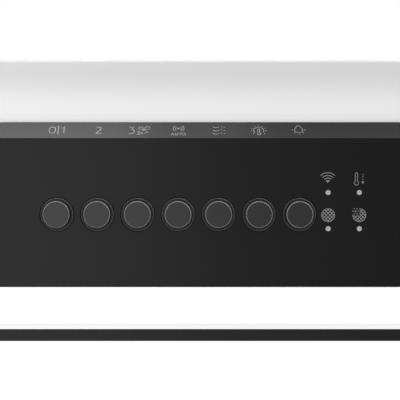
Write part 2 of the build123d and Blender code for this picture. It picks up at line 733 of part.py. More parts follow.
def lamp_diffuser():
    """The opal cover that fills the gap as seen from the front, with a lip turned in under the channel."""
    reach = (-LAMP_HALF_LENGTH, LAMP_HALF_LENGTH)
    plate = block(reach, (DIFFUSER_FRONT_Y, DIFFUSER_BACK_Y), (LAMP_BOTTOM_Z, DECK_BOTTOM_Z - SHEET))
    return plate + block(reach, (DIFFUSER_FRONT_Y, DIFFUSER_LIP_Y), (LAMP_BOTTOM_Z, LAMP_BOTTOM_Z + SHEET))


def lamp_board_z():
    """The height limits of the lamp board in its channel."""
    middle = (LAMP_BOTTOM_Z + DECK_BOTTOM_Z) / 2
    return (middle - LAMP_BOARD_HEIGHT / 2, middle + LAMP_BOARD_HEIGHT / 2)


def lamp_board():
    """The long board on the channel's back wall."""
    back = LAMP_BACK_Y - SHEET
    half = LAMP_HALF_LENGTH - LAMP_CAP_THICK
    return block((-half, half), (back - BOARD_THICK, back), lamp_board_z())


def lamp_lights():
    """The row of white lights on the lamp board."""
    back = LAMP_BACK_Y - SHEET - BOARD_THICK
    middle_z = sum(lamp_board_z()) / 2
    pitch = 2 * LAMP_HALF_LENGTH / LAMP_LIGHT_COUNT
    width, depth, height = LAMP_LIGHT_SIZE
    pieces = []
    for place in range(LAMP_LIGHT_COUNT):
        x = -LAMP_HALF_LENGTH + pitch * (place + 0.5)
        pieces.append(
            block(
                (x - width / 2, x + width / 2),
                (back - depth, back),
                (middle_z - height / 2, middle_z + height / 2),
            )
        )
    return group(pieces)


def lamp_end_caps():
    """The two caps that close the ends of the lamp bar."""
    pieces = []
    for side in (-1, 1):
        span = sorted((side * LAMP_HALF_LENGTH, side * (LAMP_HALF_LENGTH + LAMP_CAP_THICK)))
        pieces.append(block(span, (DIFFUSER_FRONT_Y, LAMP_BACK_Y), (LAMP_BOTTOM_Z, BAND_BOTTOM_Z)))
    return group(pieces)


# Hinged suction panel
def glass_panel():
    """The black glass plate with softened edges."""
    plate = block((-HALF_WIDTH, HALF_WIDTH), (FRONT_Y, HINGE_Y), (BOTTOM_Z, GLASS_TOP_Z))
    return fillet(plate.edges(), GLASS_ROUND)


def panel_tray():
    """The shallow steel tray bonded to the top of the glass."""
    reach_x = (-TRAY_HALF_WIDTH, TRAY_HALF_WIDTH)
    outside = block(reach_x, (TRAY_FRONT_Y, TRAY_REAR_Y), (GLASS_TOP_Z, TRAY_TOP_Z))
    inside_x = TRAY_HALF_WIDTH - SHEET
    inside_y = (TRAY_FRONT_Y + SHEET, TRAY_REAR_Y - SHEET)
    return outside - block((-inside_x, inside_x), inside_y, (GLASS_TOP_Z + SHEET, TRAY_TOP_Z))


def hinge_brackets():
    """Two brackets under the deck, each with an eye for its pin."""
    pieces = []
    for side in (-1, 1):
        middle = side * HINGE_X
        span = (middle - HINGE_PLATE / 2, middle + HINGE_PLATE / 2)
        foot_span = (middle - HINGE_FOOT / 2, middle + HINGE_FOOT / 2)
        arm_y = (HINGE_Y - HINGE_EYE_RADIUS, HINGE_Y + HINGE_EYE_RADIUS)
        arm = block(span, arm_y, (HINGE_Z, DECK_BOTTOM_Z))
        arm += rod_x(span, HINGE_Y, HINGE_Z, HINGE_EYE_RADIUS)
        foot_y = (HINGE_Y - HINGE_FOOT / 2, HINGE_Y + HINGE_FOOT / 2)
        arm += block(foot_span, foot_y, (DECK_BOTTOM_Z - HINGE_PLATE, DECK_BOTTOM_Z))
        pieces.append(arm - rod_x(span, HINGE_Y, HINGE_Z, HINGE_PIN_RADIUS + RUNNING))
    return group(pieces)


def hinge_leaf_spans(side):
    """Where the two ears of one hinge leaf stand, beside the bracket's arm."""
    middle = side * HINGE_X
    near_arm = HINGE_PLATE / 2 + SEAM
    far = near_arm + HINGE_PLATE
    return ((middle - far, middle - near_arm), (middle + near_arm, middle + far))


def hinge_leaves():
    """Two leaves bonded to the glass, each with two ears on the hinge pin."""
    pieces = []
    for side in (-1, 1):
        ears = hinge_leaf_spans(side)
        foot = (ears[0][0], ears[1][1])
        foot_y = (HINGE_Y - HINGE_FOOT, HINGE_Y - HINGE_EYE_RADIUS)
        leaf = block(foot, foot_y, (GLASS_TOP_Z, GLASS_TOP_Z + SHEET))
        for ear in ears:
            leaf += rod_x(ear, HINGE_Y, HINGE_Z, HINGE_EYE_RADIUS)
            leaf += block(ear, (HINGE_Y - HINGE_FOOT, HINGE_Y), (GLASS_TOP_Z, HINGE_Z))
            leaf -= rod_x(ear, HINGE_Y, HINGE_Z, HINGE_PIN_RADIUS + RUNNING)
        pieces.append(leaf)
    return group(pieces)


def hinge_pins():
    """The two pins through the hinge eyes."""
    pieces = []
    for side in (-1, 1):
        ears = hinge_leaf_spans(side)
        pieces.append(rod_x((ears[0][0], ears[1][1]), HINGE_Y, HINGE_Z, HINGE_PIN_RADIUS))
    return group(pieces)


def catch_block(side, z_range):
    """A block over one of the two catches near the front of the panel."""
    middle = side * CATCH_X
    half = CATCH_SIZE[0] / 2
    front = TRAY_FRONT_Y + SHEET + LOOSE
    return block((middle - half, middle + half), (front, front + CATCH_SIZE[1]), z_range)


def strike_plates():
    """Two steel strikes on posts in the tray, under the magnets."""
    floor = GLASS_TOP_Z + SHEET
    return group([catch_block(side, (floor, TRAY_TOP_Z + STRIKE_THICK)) for side in (-1, 1)])


def magnet_catches():
    """Two magnets under the deck that hold the panel shut."""
    reach = (TRAY_TOP_Z + STRIKE_THICK + SEAM, DECK_BOTTOM_Z)
    return group([catch_block(side, reach) for side in (-1, 1)])


# Grease filters
def filter_limits(side, inset_x, inset_front, inset_rear):
    """The X and Y limits of one filter, drawn in from its outside."""
    middle = side * FILTER_X
    half = FILTER_WIDTH / 2 - inset_x
    return (middle - half, middle + half), (FILTER_FRONT_Y + inset_front, FILTER_REAR_Y - inset_rear)


def filter_frame(side):
    """The frame of one grease filter, with rear lugs on the deck and a pocket for the latch."""
    x_range, y_range = filter_limits(side, 0, 0, 0)
    frame = block(x_range, y_range, (FILTER_BOTTOM_Z, FILTER_TOP_Z))
    window_x, window_y = filter_limits(side, FILTER_RIM, FILTER_FRONT_RIM, FILTER_RIM)
    frame -= block(window_x, window_y, (FILTER_BOTTOM_Z + FILTER_LIP_THICK, FILTER_TOP_Z))
    inset = FILTER_RIM + FILTER_LIP
    lip_x, lip_y = filter_limits(side, inset, FILTER_FRONT_RIM + FILTER_LIP, inset)
    frame -= block(lip_x, lip_y, (FILTER_BOTTOM_Z, FILTER_BOTTOM_Z + FILTER_LIP_THICK))
    middle = side * FILTER_X
    pocket_front = FILTER_FRONT_Y + POCKET_WALL
    pocket_half = POCKET_WIDTH / 2
    frame -= block(
        (middle - pocket_half, middle + pocket_half),
        (pocket_front, pocket_front + POCKET_LENGTH),
        (FILTER_BOTTOM_Z, TONGUE_TOP_Z + SLIDING),
    )
    slot_half = TONGUE_WIDTH / 2 + SLIDING
    frame -= block(
        (middle - slot_half, middle + slot_half),
        (FILTER_FRONT_Y, pocket_front),
        (TONGUE_BOTTOM_Z - SLIDING, TONGUE_TOP_Z + SLIDING),
    )
    for end in (-1, 1):
        lug_x = middle + end * FILTER_WIDTH / 4
        frame += block(
            (lug_x - FILTER_LUG_WIDTH / 2, lug_x + FILTER_LUG_WIDTH / 2),
            (FILTER_REAR_Y - FILTER_RIM / 2, FILTER_REAR_Y + FILTER_LUG),
            (DECK_TOP_Z, DECK_TOP_Z + TONGUE_THICK),
        )
    return frame


def filter_mesh(side):
    """The stretched mesh sheet on the frame's lip."""
    rim = FILTER_RIM + SEAM
    x_range, y_range = filter_limits(side, rim, FILTER_FRONT_RIM + SEAM, rim)
    level = FILTER_BOTTOM_Z + FILTER_LIP_THICK
    width = x_range[1] - x_range[0]
    length = y_range[1] - y_range[0]
    columns = int((width - MESH_MARGIN) / MESH_PITCH)
    rows = int((length - MESH_MARGIN) / MESH_PITCH)
    hole = Rectangle(MESH_HOLE, MESH_HOLE, rotation=45)
    sheet = Rectangle(width, length) - GridLocations(MESH_PITCH, MESH_PITCH, columns, rows) * hole
    return Pos(sum(x_range) / 2, sum(y_range) / 2, level) * extrude(sheet, MESH_THICK)


def filter_pad(side):
    """The pleated pad above the mesh sheet."""
    rim = FILTER_RIM + SEAM
    x_range, y_range = filter_limits(side, rim, FILTER_FRONT_RIM + SEAM, rim)
    low = FILTER_BOTTOM_Z + FILTER_LIP_THICK + MESH_THICK
    high = FILTER_TOP_Z - PLEAT_SHEET
    folds = int((y_range[1] - y_range[0]) / PLEAT_PITCH) * 2
    under = []
    for fold in range(folds + 1):
        y = y_range[0] + fold * PLEAT_PITCH / 2
        under.append((y, low if fold % 2 == 0 else high - PLEAT_SHEET))
    over = [(y, z + PLEAT_SHEET) for y, z in reversed(under)]
    outline = make_face(Polyline(*under, *over, close=True).edges())
    return extrude(Plane.YZ.offset(x_range[0]) * outline, x_range[1] - x_range[0])


def filter_latch(side):
    """The sliding latch of one filter: a tongue over the deck's edge and a finger plate."""
    middle = side * FILTER_X
    half = TONGUE_WIDTH / 2
    finger_back = FILTER_FRONT_Y + FINGER_SETBACK + FINGER_THICK
    tongue = block(
        (middle - half, middle + half),
        (FILTER_FRONT_Y - LATCH_TRAVEL, finger_back),
        (TONGUE_BOTTOM_Z, TONGUE_TOP_Z),
    )
    finger_half = FINGER_WIDTH / 2
    finger = block(
        (middle - finger_half, middle + finger_half),
        (FILTER_FRONT_Y + FINGER_SETBACK, finger_back),
        (FILTER_BOTTOM_Z + FINGER_RECESS, TONGUE_TOP_Z),
    )
    return tongue + finger


# Blower
def volute(grow, tongue_angle):
    """The spiral outline with its outlet, drawn from four quarter arcs."""
    step = SCROLL_STEP / 2
    centres = ((-step, step), (-step, -step), (step, -step), (step, step))
    radii = [SCROLL_RADIUS + grow + SCROLL_STEP * quarter for quarter in range(len(centres))]
    edges = [CenterArc(centres[0], radii[0], tongue_angle, QUARTER_TURN - tongue_angle)]
    for quarter in (1, 2, 3):
        edges.append(CenterArc(centres[quarter], radii[quarter], QUARTER_TURN * quarter, QUARTER_TURN))
    right_x = OUTLET_RIGHT + grow
    tongue = places_on_circle(*centres[0], radii[0], [tongue_angle])[0]
    corners = ((right_x, step), (right_x, OUTLET_REACH), (OUTLET_LEFT - grow, OUTLET_REACH), tongue)
    edges.append(Polyline(*corners))
    return make_face([edge for curve in edges for edge in curve.edges()])


def volute_solid(grow, tongue_angle, z_range):
    """The spiral outline raised between two levels, at the fan's place."""
    return Pos(FAN_X, FAN_Y, z_range[0]) * extrude(volute(grow, tongue_angle), z_range[1] - z_range[0])


def mount_places():
    """Where the blower hangs from the casing."""
    return places_on_circle(FAN_X, FAN_Y, MOUNT_CIRCLE, MOUNT_ANGLES)


def blower_upper_shell():
    """The upper half of the blower's scroll."""
    level = (SCROLL_SPLIT_Z, SCROLL_TOP_Z)
    shell = volute_solid(SCROLL_WALL, TONGUE_ANGLE_OUTSIDE, level)
    shell -= volute_solid(0, TONGUE_ANGLE, (SCROLL_SPLIT_Z, SCROLL_CEILING_Z))
    for x, y in mount_places():
        shell -= rod_z(x, y, (SCROLL_CEILING_Z, SCROLL_TOP_Z), MOUNT_SCREW_RADIUS + RUNNING)
    return shell


def blower_lower_shell():
    """The lower half of the blower's scroll, with the inlet hole."""
    shell = volute_solid(SCROLL_WALL, TONGUE_ANGLE_OUTSIDE, (SCROLL_BOTTOM_Z, SCROLL_SPLIT_Z))
    shell -= volute_solid(0, TONGUE_ANGLE, (SCROLL_BOTTOM_Z + SCROLL_WALL, SCROLL_SPLIT_Z))
    throat = INLET_RADIUS + INLET_WALL + SLIDING
    return shell - rod_z(FAN_X, FAN_Y, (SCROLL_BOTTOM_Z, SCROLL_BOTTOM_Z + SCROLL_WALL), throat)


def inlet_ring():
    """The ring in the inlet hole, with a flange under the shell."""
    low = SCROLL_BOTTOM_Z - SCROLL_WALL
    ring = rod_z(FAN_X, FAN_Y, (low, SCROLL_BOTTOM_Z + INLET_REACH), INLET_RADIUS + INLET_WALL)
    ring += rod_z(FAN_X, FAN_Y, (low, SCROLL_BOTTOM_Z), INLET_RADIUS + INLET_FLANGE)
    return ring - rod_z(FAN_X, FAN_Y, (low, SCROLL_BOTTOM_Z + INLET_REACH), INLET_RADIUS)


def carbon_filter():
    """The round carbon filter under the inlet ring, with its ribbed lower face."""
    top = SCROLL_BOTTOM_Z - SCROLL_WALL
    low = top - CARBON_HEIGHT
    drum = rod_z(FAN_X, FAN_Y, (low, top), CARBON_RADIUS)
    cell_angle = 360 / CARBON_CELLS - CARBON_RIB_ANGLE
    cell = make_face(
        [
            edge
            for curve in (
                CenterArc((0, 0), CARBON_RADIUS - CARBON_RIM, 0, cell_angle),
                Line(polar(CARBON_RADIUS - CARBON_RIM, cell_angle), polar(CARBON_HUB_RADIUS, cell_angle)),
                CenterArc((0, 0), CARBON_HUB_RADIUS, cell_angle, -cell_angle),
                Line(polar(CARBON_HUB_RADIUS, 0), polar(CARBON_RADIUS - CARBON_RIM, 0)),
            )
            for edge in curve.edges()
        ]
    )
    cut = extrude(cell, CARBON_CELL_DEPTH)
    for place in range(CARBON_CELLS):
        drum -= Pos(FAN_X, FAN_Y, low) * Rot(0, 0, 360 / CARBON_CELLS * place) * cut
    return drum


def fan_wheel():
    """The fan wheel: ring plate, curved blades, eye ring and the hub cup under the motor."""
    wheel = Cylinder(WHEEL_RADIUS, WHEEL_PLATE) - Cylinder(HUB_RADIUS - HUB_WALL, WHEEL_PLATE)
    wheel = Pos(0, 0, WHEEL_TOP_Z - WHEEL_PLATE / 2) * wheel
    eye = Cylinder(WHEEL_RADIUS, WHEEL_PLATE) - Cylinder(WHEEL_EYE_RADIUS, WHEEL_PLATE)
    wheel += Pos(0, 0, WHEEL_BOTTOM_Z + WHEEL_PLATE / 2) * eye
    cup = rod_z(0, 0, (HUB_BOTTOM_Z, WHEEL_TOP_Z), HUB_RADIUS)
    cup -= rod_z(0, 0, (HUB_BOTTOM_Z + HUB_WALL, WHEEL_TOP_Z), HUB_RADIUS - HUB_WALL)
    boss = (HUB_BOTTOM_Z - HUB_BOSS_LENGTH, HUB_BOTTOM_Z)
    cup += rod_z(0, 0, boss, HUB_BOSS_RADIUS)
    cup -= rod_z(0, 0, (boss[0], HUB_BOTTOM_Z + HUB_WALL), SHAFT_RADIUS + RUNNING)
    wheel += cup
    middle_radius = (WHEEL_RADIUS + WHEEL_EYE_RADIUS) / 2
    outer_radius = WHEEL_RADIUS - BLADE_THICK
    lead = math.degrees(BLADE_LEAD / middle_radius)
    thick = math.degrees(BLADE_THICK / middle_radius)
    bulge = math.degrees(BLADE_BULGE / middle_radius)
    corners = [
        polar(WHEEL_EYE_RADIUS, 0),
        polar(middle_radius, lead / 2 - bulge),
        polar(outer_radius, lead),
        polar(outer_radius, lead + thick),
        polar(middle_radius, lead / 2 - bulge + thick),
        polar(WHEEL_EYE_RADIUS, thick),
    ]
    outline = make_face(
        [
            edge
            for curve in (
                ThreePointArc(*corners[:3]),
                Line(*corners[2:4]),
                ThreePointArc(*corners[3:]),
                Line(corners[5], corners[0]),
            )
            for edge in curve.edges()
        ]
    )
    blade = Pos(0, 0, WHEEL_BOTTOM_Z) * extrude(outline, WHEEL_HEIGHT)
    wheel += [Rot(0, 0, 360 / BLADE_COUNT * place) * blade for place in range(BLADE_COUNT)]
    return Pos(FAN_X, FAN_Y, 0) * wheel


def motor_core():
    """The fixed wound core of the motor, hung from the shell's ceiling by its flange."""
    flange_z = SCROLL_CEILING_Z - CORE_FLANGE_THICK
    core = rod_z(0, 0, (CORE_BOTTOM_Z, flange_z), CORE_RADIUS)
    half = CORE_SLOT_WIDTH / 2
    slot = block((CORE_RADIUS - CORE_SLOT_DEPTH, CORE_RADIUS), (-half, half), (CORE_BOTTOM_Z, flange_z))
    for place in range(CORE_SLOTS):
        core -= Rot(0, 0, 360 / CORE_SLOTS * place) * slot
    core += rod_z(0, 0, (flange_z, SCROLL_CEILING_Z), CORE_FLANGE_RADIUS)
    core -= rod_z(0, 0, (CORE_BOTTOM_Z, SCROLL_CEILING_Z), BEARING_RADIUS + RUNNING)
    return Pos(FAN_X, FAN_Y, 0) * core


def bearing_levels():
    """The height limits of the two bearings in the core."""
    top = SCROLL_CEILING_Z - CORE_FLANGE_THICK
    return ((CORE_BOTTOM_Z, CORE_BOTTOM_Z + BEARING_WIDTH), (top - BEARING_WIDTH, top))


def motor_bearings():
    """The two bearings that carry the shaft."""
    rings = []
    for level in bearing_levels():
        ring = rod_z(FAN_X, FAN_Y, level, BEARING_RADIUS)
        rings.append(ring - rod_z(FAN_X, FAN_Y, level, SHAFT_RADIUS + RUNNING))
    return group(rings)


def motor_shaft():
    """The shaft that joins the fan wheel to the bearings."""
    return rod_z(FAN_X, FAN_Y, (HUB_BOTTOM_Z - HUB_BOSS_LENGTH, bearing_levels()[1][1]), SHAFT_RADIUS)


def blower_mounts():
    """Rubber mounts between the scroll and the casing."""
    reach = (SCROLL_TOP_Z, -SHEET)
    return group(
        [
            rod_z(x, y, reach, MOUNT_RADIUS) - rod_z(x, y, reach, MOUNT_SCREW_RADIUS + SEAM)
            for x, y in mount_places()
        ]
    )


def blower_screws():
    """Screws up through the mounts into the casing."""
    pieces = []
    for x, y in mount_places():
        head = (SCROLL_CEILING_Z - MOUNT_SCREW_RADIUS, SCROLL_CEILING_Z)
        pieces.append(
            rod_z(x, y, (SCROLL_CEILING_Z, 0), MOUNT_SCREW_RADIUS) + rod_z(x, y, head, MOUNT_SCREW_HEAD)
        )
    return pieces


# Outlet elbow, collar and damper
def collar_screw_places():
    """Where the collar is screwed to the casing."""
    return places_on_circle(COLLAR_X, COLLAR_Y, COLLAR_SCREW_CIRCLE, COLLAR_SCREW_ANGLES)


def outlet_elbow():
    """The box that turns the air from the blower up into the collar."""
    reach_x = (COLLAR_X - ELBOW_HALF_WIDTH, COLLAR_X + ELBOW_HALF_WIDTH)
    reach_y = (COLLAR_Y - ELBOW_HALF_LENGTH, COLLAR_Y + ELBOW_HALF_LENGTH)
    elbow = block(reach_x, reach_y, (ELBOW_BOTTOM_Z, ELBOW_TOP_Z))
    elbow -= block(
        (reach_x[0] + ELBOW_WALL, reach_x[1] - ELBOW_WALL),
        (reach_y[0] + ELBOW_WALL, reach_y[1] - ELBOW_WALL),
        (ELBOW_BOTTOM_Z + ELBOW_WALL, ELBOW_TOP_Z - ELBOW_WALL),
    )
    roof = (ELBOW_TOP_Z - ELBOW_WALL, ELBOW_TOP_Z)
    elbow -= rod_z(COLLAR_X, COLLAR_Y, roof, COLLAR_LOWER_RADIUS + SEAM)
    for x, y in collar_screw_places():
        elbow -= rod_z(x, y, roof, COLLAR_SCREW_RADIUS + RUNNING)
    return elbow - block(
        (FAN_X + OUTLET_LEFT, FAN_X + OUTLET_RIGHT),
        (reach_y[0], reach_y[0] + ELBOW_WALL),
        (SCROLL_BOTTOM_Z + SCROLL_WALL, SCROLL_CEILING_Z),
    )


def duct_collar():
    """The round collar through the casing's top, with its flange inside and a ledge for the flaps."""
    collar = rod_z(COLLAR_X, COLLAR_Y, (COLLAR_NECK, COLLAR_HEIGHT), COLLAR_RADIUS)
    collar = chamfer(edges_where(collar, lambda at: near(at.Z, COLLAR_HEIGHT)), COLLAR_CHAMFER)
    collar += rod_z(COLLAR_X, COLLAR_Y, (ELBOW_TOP_Z, COLLAR_FLANGE_TOP_Z), COLLAR_FLANGE_RADIUS)
    collar += rod_z(COLLAR_X, COLLAR_Y, (-COLLAR_DEPTH, COLLAR_NECK), COLLAR_LOWER_RADIUS)
    ledge_top = FLAP_Z - FLAP_THICK / 2 - SEAM
    upper = rod_z(COLLAR_X, COLLAR_Y, (ledge_top, COLLAR_HEIGHT), COLLAR_BORE)
    ledge = rod_z(COLLAR_X, COLLAR_Y, (ledge_top - LEDGE_THICK, ledge_top), COLLAR_BORE - LEDGE_WIDTH)
    lower = rod_z(COLLAR_X, COLLAR_Y, (-COLLAR_DEPTH, ledge_top - LEDGE_THICK), COLLAR_BORE)
    collar = collar - upper - ledge - lower
    reach = (COLLAR_X - COLLAR_LOWER_RADIUS, COLLAR_X + COLLAR_LOWER_RADIUS)
    collar -= rod_x(reach, COLLAR_Y, FLAP_Z, AXLE_RADIUS + RUNNING)
    for x, y in collar_screw_places():
        collar -= rod_z(x, y, (ELBOW_TOP_Z, COLLAR_FLANGE_TOP_Z), COLLAR_SCREW_RADIUS + RUNNING)
    return collar


def collar_screws():
    """Screws up through the elbow and the collar's flange into the casing."""
    pieces = []
    base = ELBOW_TOP_Z - ELBOW_WALL
    for x, y in collar_screw_places():
        head = rod_z(x, y, (base - COLLAR_SCREW_RADIUS, base), COLLAR_SCREW_HEAD)
        pieces.append(rod_z(x, y, (base, 0), COLLAR_SCREW_RADIUS) + head)
    return pieces


def damper_axle():
    """The axle across the collar that both flaps hang on."""
    half = COLLAR_LOWER_RADIUS - SEAM
    return rod_x((COLLAR_X - half, COLLAR_X + half), COLLAR_Y, FLAP_Z, AXLE_RADIUS)


def knuckle_spans(side):
    """The stretches of axle that one flap's knuckles take, turn by turn with the other flap's."""
    inner, middle, outer = KNUCKLE_SPLITS
    half_gap = SEAM / 2
    if side < 0:
        outer_span = (middle + half_gap, outer)
        return [(-inner + half_gap, inner - half_gap), (-outer_span[1], -outer_span[0]), outer_span]
    return [(-middle + half_gap, -inner - half_gap), (inner + half_gap, middle - half_gap)]


def damper_flap(side):
    """One half-round flap with its knuckles on the axle."""
    radius = COLLAR_BORE - FLAP_EDGE_GAP
    knuckle_radius = AXLE_RADIUS + RUNNING + KNUCKLE_WALL
    level = (-FLAP_THICK / 2, FLAP_THICK / 2)
    clear = knuckle_radius + SEAM
    half_plane = sorted((side * clear, side * radius))
    flap = rod_z(0, 0, level, radius) & block((-radius, radius), half_plane, level)
    for span in knuckle_spans(side):
        flap += rod_x(span, 0, 0, knuckle_radius)
        flap += block(span, sorted((0, side * clear)), level)
    for span in knuckle_spans(side):
        flap -= rod_x(span, 0, 0, AXLE_RADIUS + RUNNING)
    return Pos(COLLAR_X, COLLAR_Y, FLAP_Z) * flap


# Power box and cable gland
def power_post_places():
    """Where the power board is held in its box."""
    return [
        (x, y)
        for x in (POWER_X[0] + POWER_POST_INSET, POWER_X[1] - POWER_POST_INSET)
        for y in (POWER_Y[0] + POWER_POST_INSET, POWER_Y[1] - POWER_POST_INSET)
    ]


def power_box():
    """The box under the casing's top that holds the power board."""
    low = -SHEET - POWER_DEPTH
    box = block(POWER_X, POWER_Y, (low, -SHEET))
    box -= block(
        (POWER_X[0] + POWER_WALL, POWER_X[1] - POWER_WALL),
        (POWER_Y[0] + POWER_WALL, POWER_Y[1] - POWER_WALL),
        (low, -SHEET - POWER_WALL),
    )
    roof = -SHEET - POWER_WALL
    for x, y in power_post_places():
        box += rod_z(x, y, (roof - POWER_POST_LENGTH, roof), POWER_POST_RADIUS)
    return box


def power_lid():
    """The lid under the power box."""
    low = -SHEET - POWER_DEPTH
    return block(POWER_X, POWER_Y, (low - POWER_WALL, low))


def power_board_z():
    """The height limits of the power board."""
    top = -SHEET - POWER_WALL - POWER_POST_LENGTH
    return (top - BOARD_THICK, top)


def power_board():
    """The power board under the box's posts."""
    inset = POWER_WALL + LOOSE
    return block(
        (POWER_X[0] + inset, POWER_X[1] - inset),
        (POWER_Y[0] + inset, POWER_Y[1] - inset),
        power_board_z(),
    )


def power_board_place(share_x, share_y):
    """A point on the power board, by its shares of the board's half sizes."""
    half_x = (POWER_X[1] - POWER_X[0]) / 2
    half_y = (POWER_Y[1] - POWER_Y[0]) / 2
    return (POWER_X[0] + half_x * (1 + share_x), POWER_Y[0] + half_y * (1 + share_y))


def power_parts():
    """Transformer, capacitor, relays and terminals under the power board."""
    top = power_board_z()[0]
    pieces = []
    for share_x, share_y, width, length, height in (TRANSFORMER, LIGHT_RELAY, FAN_RELAY, TERMINALS):
        x, y = power_board_place(share_x, share_y)
        pieces.append(
            block(
                (x - width / 2, x + width / 2),
                (y - length / 2, y + length / 2),
                (top - height, top),
            )
        )
    can = (top - CAPACITOR_LENGTH, top)
    pieces.append(rod_z(*power_board_place(*CAPACITOR_PLACE), can, CAPACITOR_RADIUS))
    return group(pieces)


def cable_gland():
    """The gland in the top for the mains cable, with its nut under the sheet."""
    gland = extrude(RegularPolygon(GLAND_NUT_RADIUS, 6), GLAND_HEIGHT)
    gland = chamfer(edges_where(gland, lambda at: near(at.Z, GLAND_HEIGHT)), GLAND_CHAMFER)
    gland += rod_z(0, 0, (-GLAND_DEPTH, 0), GLAND_THREAD_RADIUS)
    nut_top = -SHEET
    nut = extrude(RegularPolygon(GLAND_NUT_RADIUS, 6), GLAND_NUT_THICK)
    gland += Pos(0, 0, nut_top - GLAND_NUT_THICK) * nut
    gland -= rod_z(0, 0, (-GLAND_DEPTH, GLAND_HEIGHT), GLAND_BORE)
    return Pos(GLAND_X, GLAND_Y, 0) * gland


def build_pieces():
    """Every piece by its name."""
    band = canopy_band()
    pieces = {
        "upper_casing": upper_casing(),
        "front_fascia": front_fascia(band),
        "canopy_frame": canopy_frame(band),
        "casing_screws": group(skirt_screws() + deck_screws()),
        "filter_deck": filter_deck(),
        "button_bezels": group([bezel(x) for x in BUTTONS_X]),
        "return_sleeves": group([return_sleeve(x) for x in BUTTONS_X]),
        "button_carrier": button_carrier(),
        "key_switches": group([key_switch(x) for x in BUTTONS_X]),
        "control_board": control_board(),
        "board_parts": board_parts(),
        "indicator_pipes": group([light_pipe(x, z) for x, z in PIPES]),
        "control_cover": control_cover(),
        "control_fasteners": control_fasteners(),
        "lamp_channel": lamp_channel(),
        "lamp_diffuser": lamp_diffuser(),
        "lamp_board": lamp_board(),
        "lamp_lights": lamp_lights(),
        "lamp_end_caps": lamp_end_caps(),
        "glass_panel": glass_panel(),
        "panel_tray": panel_tray(),
        "hinge_brackets": hinge_brackets(),
        "hinge_leaves": hinge_leaves(),
        "hinge_pins": hinge_pins(),
        "strike_plates": strike_plates(),
        "magnet_catches": magnet_catches(),
        "filter_pads": group([filter_pad(side) for side in (-1, 1)]),
        "carbon_filter": carbon_filter(),
        "blower_upper_shell": blower_upper_shell(),
        "blower_lower_shell": blower_lower_shell(),
        "inlet_ring": inlet_ring(),
        "fan_wheel": fan_wheel(),
        "motor_core": motor_core(),
        "motor_bearings": motor_bearings(),
        "motor_shaft": motor_shaft(),
        "blower_mounts": blower_mounts(),
        "hanging_screws": group(blower_screws() + collar_screws()),
        "outlet_elbow": outlet_elbow(),
        "duct_collar": duct_collar(),
        "damper_axle": damper_axle(),
        "front_flap": damper_flap(-1),
        "rear_flap": damper_flap(1),
        "power_box": power_box(),
        "power_lid": power_lid(),
        "power_board": power_board(),
        "power_parts": power_parts(),
        "cable_gland": cable_gland(),
    }
    for name, x in zip(BUTTON_NAMES, BUTTONS_X):
        pieces[name] = button(x)
    for side, word in ((-1, "left"), (1, "right")):
        pieces[word + "_filter_frame"] = filter_frame(side)
        pieces[word + "_filter_mesh"] = filter_mesh(side)
        pieces[word + "_filter_latch"] = filter_latch(side)
    return pieces


os.makedirs("parts", exist_ok=True)
for name, piece in build_pieces().items():
    export_step(piece, "parts/" + name + ".step")
    print(name, len(piece.solids()), round(piece.volume))
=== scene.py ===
import math

import bmesh
import bpy
from mathutils import Matrix, Vector


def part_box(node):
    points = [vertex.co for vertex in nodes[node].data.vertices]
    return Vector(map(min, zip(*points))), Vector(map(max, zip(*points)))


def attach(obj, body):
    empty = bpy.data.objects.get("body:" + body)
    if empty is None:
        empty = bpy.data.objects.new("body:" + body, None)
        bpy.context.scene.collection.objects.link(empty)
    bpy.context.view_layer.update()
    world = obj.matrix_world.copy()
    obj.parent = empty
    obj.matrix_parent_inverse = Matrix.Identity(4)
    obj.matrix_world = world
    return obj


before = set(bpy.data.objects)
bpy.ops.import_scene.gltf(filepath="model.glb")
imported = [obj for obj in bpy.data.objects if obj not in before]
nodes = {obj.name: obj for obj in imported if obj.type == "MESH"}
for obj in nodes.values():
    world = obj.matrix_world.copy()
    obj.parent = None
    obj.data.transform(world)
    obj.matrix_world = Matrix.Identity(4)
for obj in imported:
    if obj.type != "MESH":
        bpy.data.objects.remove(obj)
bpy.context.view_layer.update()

# A range hood in a white studio: the CAD pieces get their finishes, and marks are printed on the front.
# Lengths are in metres, except where a name ends in _MM and in the drawings of the marks.
MM = 0.001
WHITE = (1.0, 1.0, 1.0, 1.0)

# Camera: level with the front band and half a metre in front of it
CAMERA_PLACE = (0.0, -0.780, -0.0717)
CAMERA_TILT = 90.0
CAMERA_LENS_MM = 90.0
CAMERA_SENSOR_MM = 36.0
CAMERA_NEAR = 0.01

# Studio: a white room with an even light, soft lamps, and a pale floor below the open panel
ROOM_WHITE = 1.0
ROOM_LIGHT = 0.33
FLOOR_Z = -0.64
FLOOR_RADIUS = 1.6
FLOOR_CORNERS = 128
FLOOR_FADE = (0.8, 1.55)
FLOOR_GLOW = 0.35
LAMPS = (
    # name, place, aimed at, width and height, power in watts
    ("overhead_lamp", (-0.245, -0.270, 0.82), (-0.245, -0.270, 0.00), (0.34, 0.14), 1.90),
    ("overhead_middle_lamp", (0.00, -0.270, 0.82), (0.00, -0.270, 0.00), (0.15, 0.14), 0.42),
    ("upper_right_lamp", (0.34, -0.29, 0.82), (0.34, -0.29, 0.00), (0.68, 0.14), 1.24),
    ("left_lamp", (-1.38, -3.30, -0.15), (-1.38, 0.00, -0.15), (2.60, 1.80), 40.0),
    ("right_lamp", (1.31, -1.00, 1.24), (0.00, -0.28, -0.08), (0.35, 0.35), 26.0),
    ("low_lamp", (0.00, -1.05, -0.56), (0.00, -0.28, -0.05), (0.80, 0.25), 0.5),
    ("left_side_lamp", (-0.42, -0.46, 0.16), (0.00, -0.28, -0.04), (0.12, 0.12), 0.65),
)

